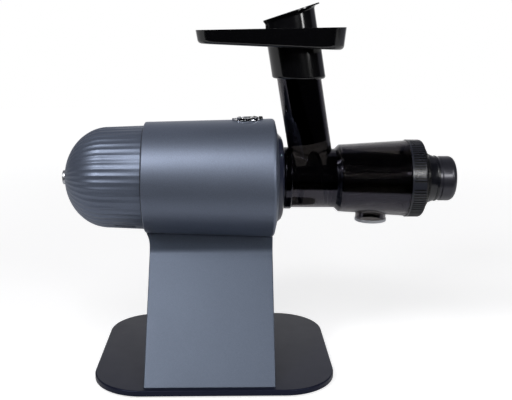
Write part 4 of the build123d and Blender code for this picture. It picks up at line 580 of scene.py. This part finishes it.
# A small inlaid dot on the cover's slope shows where the drum's lug goes in
dot_x, dot_reach, dot_height_angle, dot_slope = 0.0228, 0.0494, radians(41), radians(44)
dot_radius, dot_thickness = 0.0011, 0.0008
dot_normal = Vector((sin(dot_slope), -cos(dot_slope) * cos(dot_height_angle),
                     cos(dot_slope) * sin(dot_height_angle)))
bpy.ops.object.select_all(action="DESELECT")
bpy.ops.mesh.primitive_cylinder_add(
    vertices=32, radius=dot_radius, depth=dot_thickness,
    location=(dot_x, -dot_reach * cos(dot_height_angle), axis_height + dot_reach * sin(dot_height_angle)),
    rotation=dot_normal.to_track_quat("Z", "Y").to_euler())
dot = start("lock_dot")
bpy.ops.mesh.select_all(action="SELECT")
bpy.ops.mesh.bevel(offset=dot_thickness / 4, segments=3)
done(dot, moulded("dot_blue", srgb(150, 176, 190), 0.3, tone=0.03), "machine", corner=60)

# ---------------------------------------------------------------------------
# Switch group: a polished chrome saddle plate and oval, a black rocker, a
# black reverse button and a small milky pilot lens.
# ---------------------------------------------------------------------------

switch_black = moulded("switch_black", srgb(16, 16, 18), 0.18, tone=0.05,
                       settings={"Coat Weight": 0.4, "Coat Roughness": 0.08})
dress(switch_black, "rocker", "reverse_button")

# The rocker's marks are printed in white: a bar on the side that starts it, a ring on the other
switch_x, rocker_pivot_z = -0.01465, 0.285044
rocker_lean, rocker_hollow, rocker_middle = radians(9.0), 0.0203, 0.0042
mark_offset, mark_size, mark_stroke = 0.0056, 0.0013, 0.0003
mark_white = moulded("mark_white", srgb(214, 216, 220), 0.4, tone=0.03)


def on_rocker(offset):
    """Place and lean of a point on the rocker's hollow top, offset from its pivot."""
    height = rocker_middle + rocker_hollow - sqrt(rocker_hollow ** 2 - offset ** 2)
    place = (switch_x + offset * cos(rocker_lean) - height * sin(rocker_lean), 0,
             rocker_pivot_z + offset * sin(rocker_lean) + height * cos(rocker_lean))
    lean = rocker_lean + atan2(offset, sqrt(rocker_hollow ** 2 - offset ** 2))
    return place, (0, -lean, 0)


bar_place, bar_turn = on_rocker(mark_offset)
bpy.ops.object.select_all(action="DESELECT")
bpy.ops.mesh.primitive_cube_add(size=1.0, location=bar_place, rotation=bar_turn,
                                scale=(2 * mark_stroke, 2 * mark_size, mark_stroke))
bar = start("rocker_bar_mark")
bpy.ops.mesh.select_all(action="SELECT")
bpy.ops.mesh.bevel(offset=mark_stroke / 4, segments=2)
done(bar, mark_white, "rocker")
ring_place, ring_turn = on_rocker(-mark_offset)
bpy.ops.object.select_all(action="DESELECT")
bpy.ops.mesh.primitive_torus_add(major_radius=mark_size, minor_radius=mark_stroke, major_segments=48,
                                 minor_segments=10, location=ring_place, rotation=ring_turn)
bpy.context.object.scale = (1, 1, 0.5)
ring_mark = start("rocker_ring_mark")
done(ring_mark, mark_white, "rocker")
lens_clear = moulded("lens_clear", srgb(120, 122, 128), 0.1, tone=0.03, settings={"Coat Weight": 1.0})
dress(lens_clear, "pilot_lens")
spring_steel = worked_metal("spring_steel", srgb(170, 172, 176), 0.25, (900, 900, 900))
dress(spring_steel, "button_spring")
board_green = moulded("board_green", srgb(30, 92, 52), 0.35, tone=0.15)
dress(board_green, "control_board")

# ---------------------------------------------------------------------------
# Motor and gearbox: laminated cores, varnished copper windings, cast shields,
# ground shafts and hobbed steel gears, all out of sight inside the body.
# ---------------------------------------------------------------------------

core_steel = worked_metal("core_laminations", srgb(96, 98, 102), 0.5, (2600, 60, 60), relief=0.0001)
dress(core_steel, "stator_core", "rotor_core")
copper = worked_metal("winding_copper", srgb(176, 96, 58), 0.35, (60, 900, 900), relief=0.0002)
dress(copper, "stator_windings")
cast = worked_metal("cast_aluminium", srgb(168, 170, 172), 0.48, (240, 240, 240), relief=0.00008)
dress(cast, "front_motor_shield", "rear_motor_shield", "gear_case", "run_capacitor")
ground = worked_metal("ground_steel", srgb(158, 160, 164), 0.25, (2200, 90, 90))
dress(ground, "motor_shaft", "output_shaft", "tie_rod", "rear_bracket")
gear_steel = worked_metal("gear_steel", srgb(122, 124, 128), 0.35, (700, 300, 300))
dress(gear_steel, "ring_gear", "input_sun_gear", "input_carrier", "output_carrier",
      *[f"{stage}_planet_{number}" for stage in ("input", "output") for number in (1, 2, 3)])
bronze = worked_metal("bush_bronze", srgb(172, 128, 72), 0.4, (500, 500, 500))
dress(bronze, "output_bush", "shaft_bushes")
fan_grey = moulded("fan_grey", srgb(60, 60, 62), 0.5)
dress(fan_grey, "cooling_fan")

# ---------------------------------------------------------------------------
# Drum: one clear smoke-tinted moulding, glossy all over, through which the
# steel strainer and the dark auger show faintly.
# ---------------------------------------------------------------------------

drum_smoke = moulded("drum_smoke", srgb(112, 109, 109), 0.04, tone=0.04, smear=0.02,
                     settings={"Transmission Weight": 1.0, "IOR": 1.5, "Specular IOR Level": 0.2,
                               "Specular Tint": (0.80, 0.78, 1.0, 1.0)})

# The tint is deepened to near black in two bands: at the rear flange, where the wall is thickest, and at
# the step up to the barrel, where the dark band is painted shade standing in for the step's dark refraction
thick_and_shaded_stretches = ((0.0260, 0.0355), (0.0815, 0.0900))
band_edge = 0.0004
tree = drum_smoke.node_tree
shader = next(node for node in tree.nodes if node.type == "BSDF_PRINCIPLED")
tint = shader.inputs["Base Color"].links[0].from_socket
place = add_node(tree, "ShaderNodeTexCoord")
parts = add_node(tree, "ShaderNodeSeparateXYZ")
tree.links.new(place.outputs["Object"], parts.inputs[0])
for start_x, end_x in thick_and_shaded_stretches:
    rising = add_node(tree, "ShaderNodeMapRange", {"interpolation_type": "SMOOTHSTEP"},
                      {"From Min": start_x - band_edge, "From Max": start_x + band_edge})
    falling = add_node(tree, "ShaderNodeMapRange", {"interpolation_type": "SMOOTHSTEP"},
                       {"From Min": end_x - band_edge, "From Max": end_x + band_edge,
                        "To Min": 1.0, "To Max": 0.0})
    thick_and_shaded_band = add_node(tree, "ShaderNodeMath", {"operation": "MULTIPLY"})
    deeper_tint_and_shade = add_node(tree, "ShaderNodeMix", {"data_type": "RGBA"})
    # Near black: the flange's deeper tint, and painted shade at the step
    deeper_tint_and_shade.inputs["B"].default_value = srgb(8, 8, 9)
    tree.links.new(parts.outputs["X"], rising.inputs["Value"])
    tree.links.new(parts.outputs["X"], falling.inputs["Value"])
    tree.links.new(rising.outputs[0], thick_and_shaded_band.inputs[0])
    tree.links.new(falling.outputs[0], thick_and_shaded_band.inputs[1])
    tree.links.new(thick_and_shaded_band.outputs[0], deeper_tint_and_shade.inputs["Factor"])
    tree.links.new(tint, deeper_tint_and_shade.inputs["A"])
    tint = deeper_tint_and_shade.outputs["Result"]
tree.links.new(tint, shader.inputs["Base Color"])
dress(drum_smoke, "drum_housing")
strainer_steel = worked_metal("strainer_steel", srgb(128, 127, 124), 0.36, (90, 1200, 1200))
dress(strainer_steel, "juice_strainer")
auger_resin = moulded("auger_resin", srgb(44, 44, 48), 0.35, tone=0.08)
dress(auger_resin, "auger")
outlet_satin = worked_metal("outlet_satin", srgb(206, 208, 214), 0.5, (200, 200, 1800))
dress(outlet_satin, "outlet_ring")

# ---------------------------------------------------------------------------
# Cap ring, dial collar, nozzle and dial: dark satin mouldings, the dial with
# a metallic satin lacquer.
# ---------------------------------------------------------------------------

cap_dark = moulded("cap_dark", srgb(38, 40, 48), 0.28, tone=0.06, edge=0.0001)
dress(cap_dark, "cap_ring", "dial_collar")

# The crowns of the grip ribs keep the cap's colour and stand out lighter as painted highlight lines; all
# that lies nearer the axis, the grooves between them and the cap's front slope, is painted nearly black as
# painted shade
groove_radius, crown_radius = 0.0449, 0.0453
tree = cap_dark.node_tree
shader = tree.nodes["Principled BSDF"]
crown_highlight_color = shader.inputs["Base Color"].links[0].from_socket
place = add_node(tree, "ShaderNodeTexCoord")
from_axis = add_node(tree, "ShaderNodeVectorMath", {"operation": "SUBTRACT"}, {1: (0, 0, axis_height)})
across = add_node(tree, "ShaderNodeVectorMath", {"operation": "MULTIPLY"}, {1: (0, 1, 1)})
reach = add_node(tree, "ShaderNodeVectorMath", {"operation": "LENGTH"})
painted_crown_mask = add_node(tree, "ShaderNodeMapRange", values={"From Min": groove_radius, "From Max": crown_radius})
tint = add_node(tree, "ShaderNodeMix", {"data_type": "RGBA"})
# Painted shade: the grooves and the front slope are coloured nearly black
tint.inputs["A"].default_value = srgb(2, 2, 3)
tree.links.new(place.outputs["Object"], from_axis.inputs[0])
tree.links.new(from_axis.outputs[0], across.inputs[0])
tree.links.new(across.outputs[0], reach.inputs[0])
tree.links.new(reach.outputs["Value"], painted_crown_mask.inputs["Value"])
tree.links.new(painted_crown_mask.outputs[0], tint.inputs["Factor"])
tree.links.new(crown_highlight_color, tint.inputs["B"])
tree.links.new(tint.outputs["Result"], shader.inputs["Base Color"])
nozzle_grey = moulded("nozzle_grey", srgb(84, 84, 90), 0.4)
dress(nozzle_grey, "pressure_nozzle")
dial_satin = metallic_lacquer("dial_satin", srgb(52, 52, 60), 0.34,
                              settings={"Metallic": 0.5, "Coat Weight": 0.3, "Coat Roughness": 0.2})
dress(dial_satin, "pressure_dial")


def turned(name, stations, points=128):
    """A shape turned round the drive axis from stations of X and radius, the last on the first."""
    first_x, first_radius = stations[0]
    bpy.ops.object.select_all(action="DESELECT")
    bpy.ops.mesh.primitive_circle_add(vertices=points, radius=first_radius, fill_type="NOTHING",
                                      location=(first_x, 0, axis_height), rotation=(0, pi / 2, 0))
    piece = start(name)
    bpy.ops.mesh.select_all(action="SELECT")
    for (old_x, old_radius), (new_x, new_radius) in zip(stations, stations[1:]):
        bpy.ops.mesh.extrude_region_move(TRANSFORM_OT_translate={"value": (new_x - old_x, 0, 0)})
        growth = new_radius / old_radius
        bpy.ops.transform.resize(value=(1, growth, growth), center_override=(new_x, 0, axis_height))
    return piece


# The dial's collar sweeps down in a hollow curve from the cap and ends in a round flange
collar_start_x, collar_end_x = 0.1951, 0.2071
collar_rear_radius, collar_waist_radius, collar_flange_radius = 0.0300, 0.0263, 0.0269
collar_bore, spigot_radius, spigot_end_x, hub_x = 0.0212, 0.0234, 0.2159, 0.1881
hub_radius = 0.0249
waist_x = 0.2040
hollow_power = 1.15
hollow = [(collar_start_x + (waist_x - collar_start_x) * share,
           collar_waist_radius + (collar_rear_radius - collar_waist_radius) * (1 - share) ** hollow_power)
          for share in (0.0, 0.1, 0.2, 0.32, 0.45, 0.6, 0.8, 1.0)]
flange = [(waist_x + (collar_end_x - waist_x) * share,
           collar_waist_radius
           + (collar_flange_radius - collar_waist_radius) * sqrt(max(0.0, sin(pi * share))))
          for share in (0.08, 0.2, 0.35, 0.5, 0.65, 0.8, 0.92, 0.985)]
collar = turned("dial_collar_turned", [
    (hub_x, collar_bore), (hub_x, hub_radius), (collar_start_x, hub_radius), *hollow, *flange,
    (collar_end_x, spigot_radius), (spigot_end_x, spigot_radius), (spigot_end_x, collar_bore),
    (hub_x, collar_bore)])
collar_black = moulded("collar_black", srgb(18, 19, 25), 0.22, tone=0.05, edge=0.0004)
done(collar, collar_black, "cap")
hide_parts("dial_collar")

# ---------------------------------------------------------------------------
# Tray and pusher: deep black gloss mouldings.
# ---------------------------------------------------------------------------

tray_black = moulded("tray_black", srgb(9, 9, 11), 0.16, tone=0.04,
                     settings={"Coat Weight": 0.3, "Coat Roughness": 0.06})
dress(tray_black, "tray")
pusher_black = moulded("pusher_black", srgb(12, 12, 14), 0.14, tone=0.04,
                       settings={"Coat Weight": 0.2, "Coat Roughness": 0.05})
dress(pusher_black, "pusher")
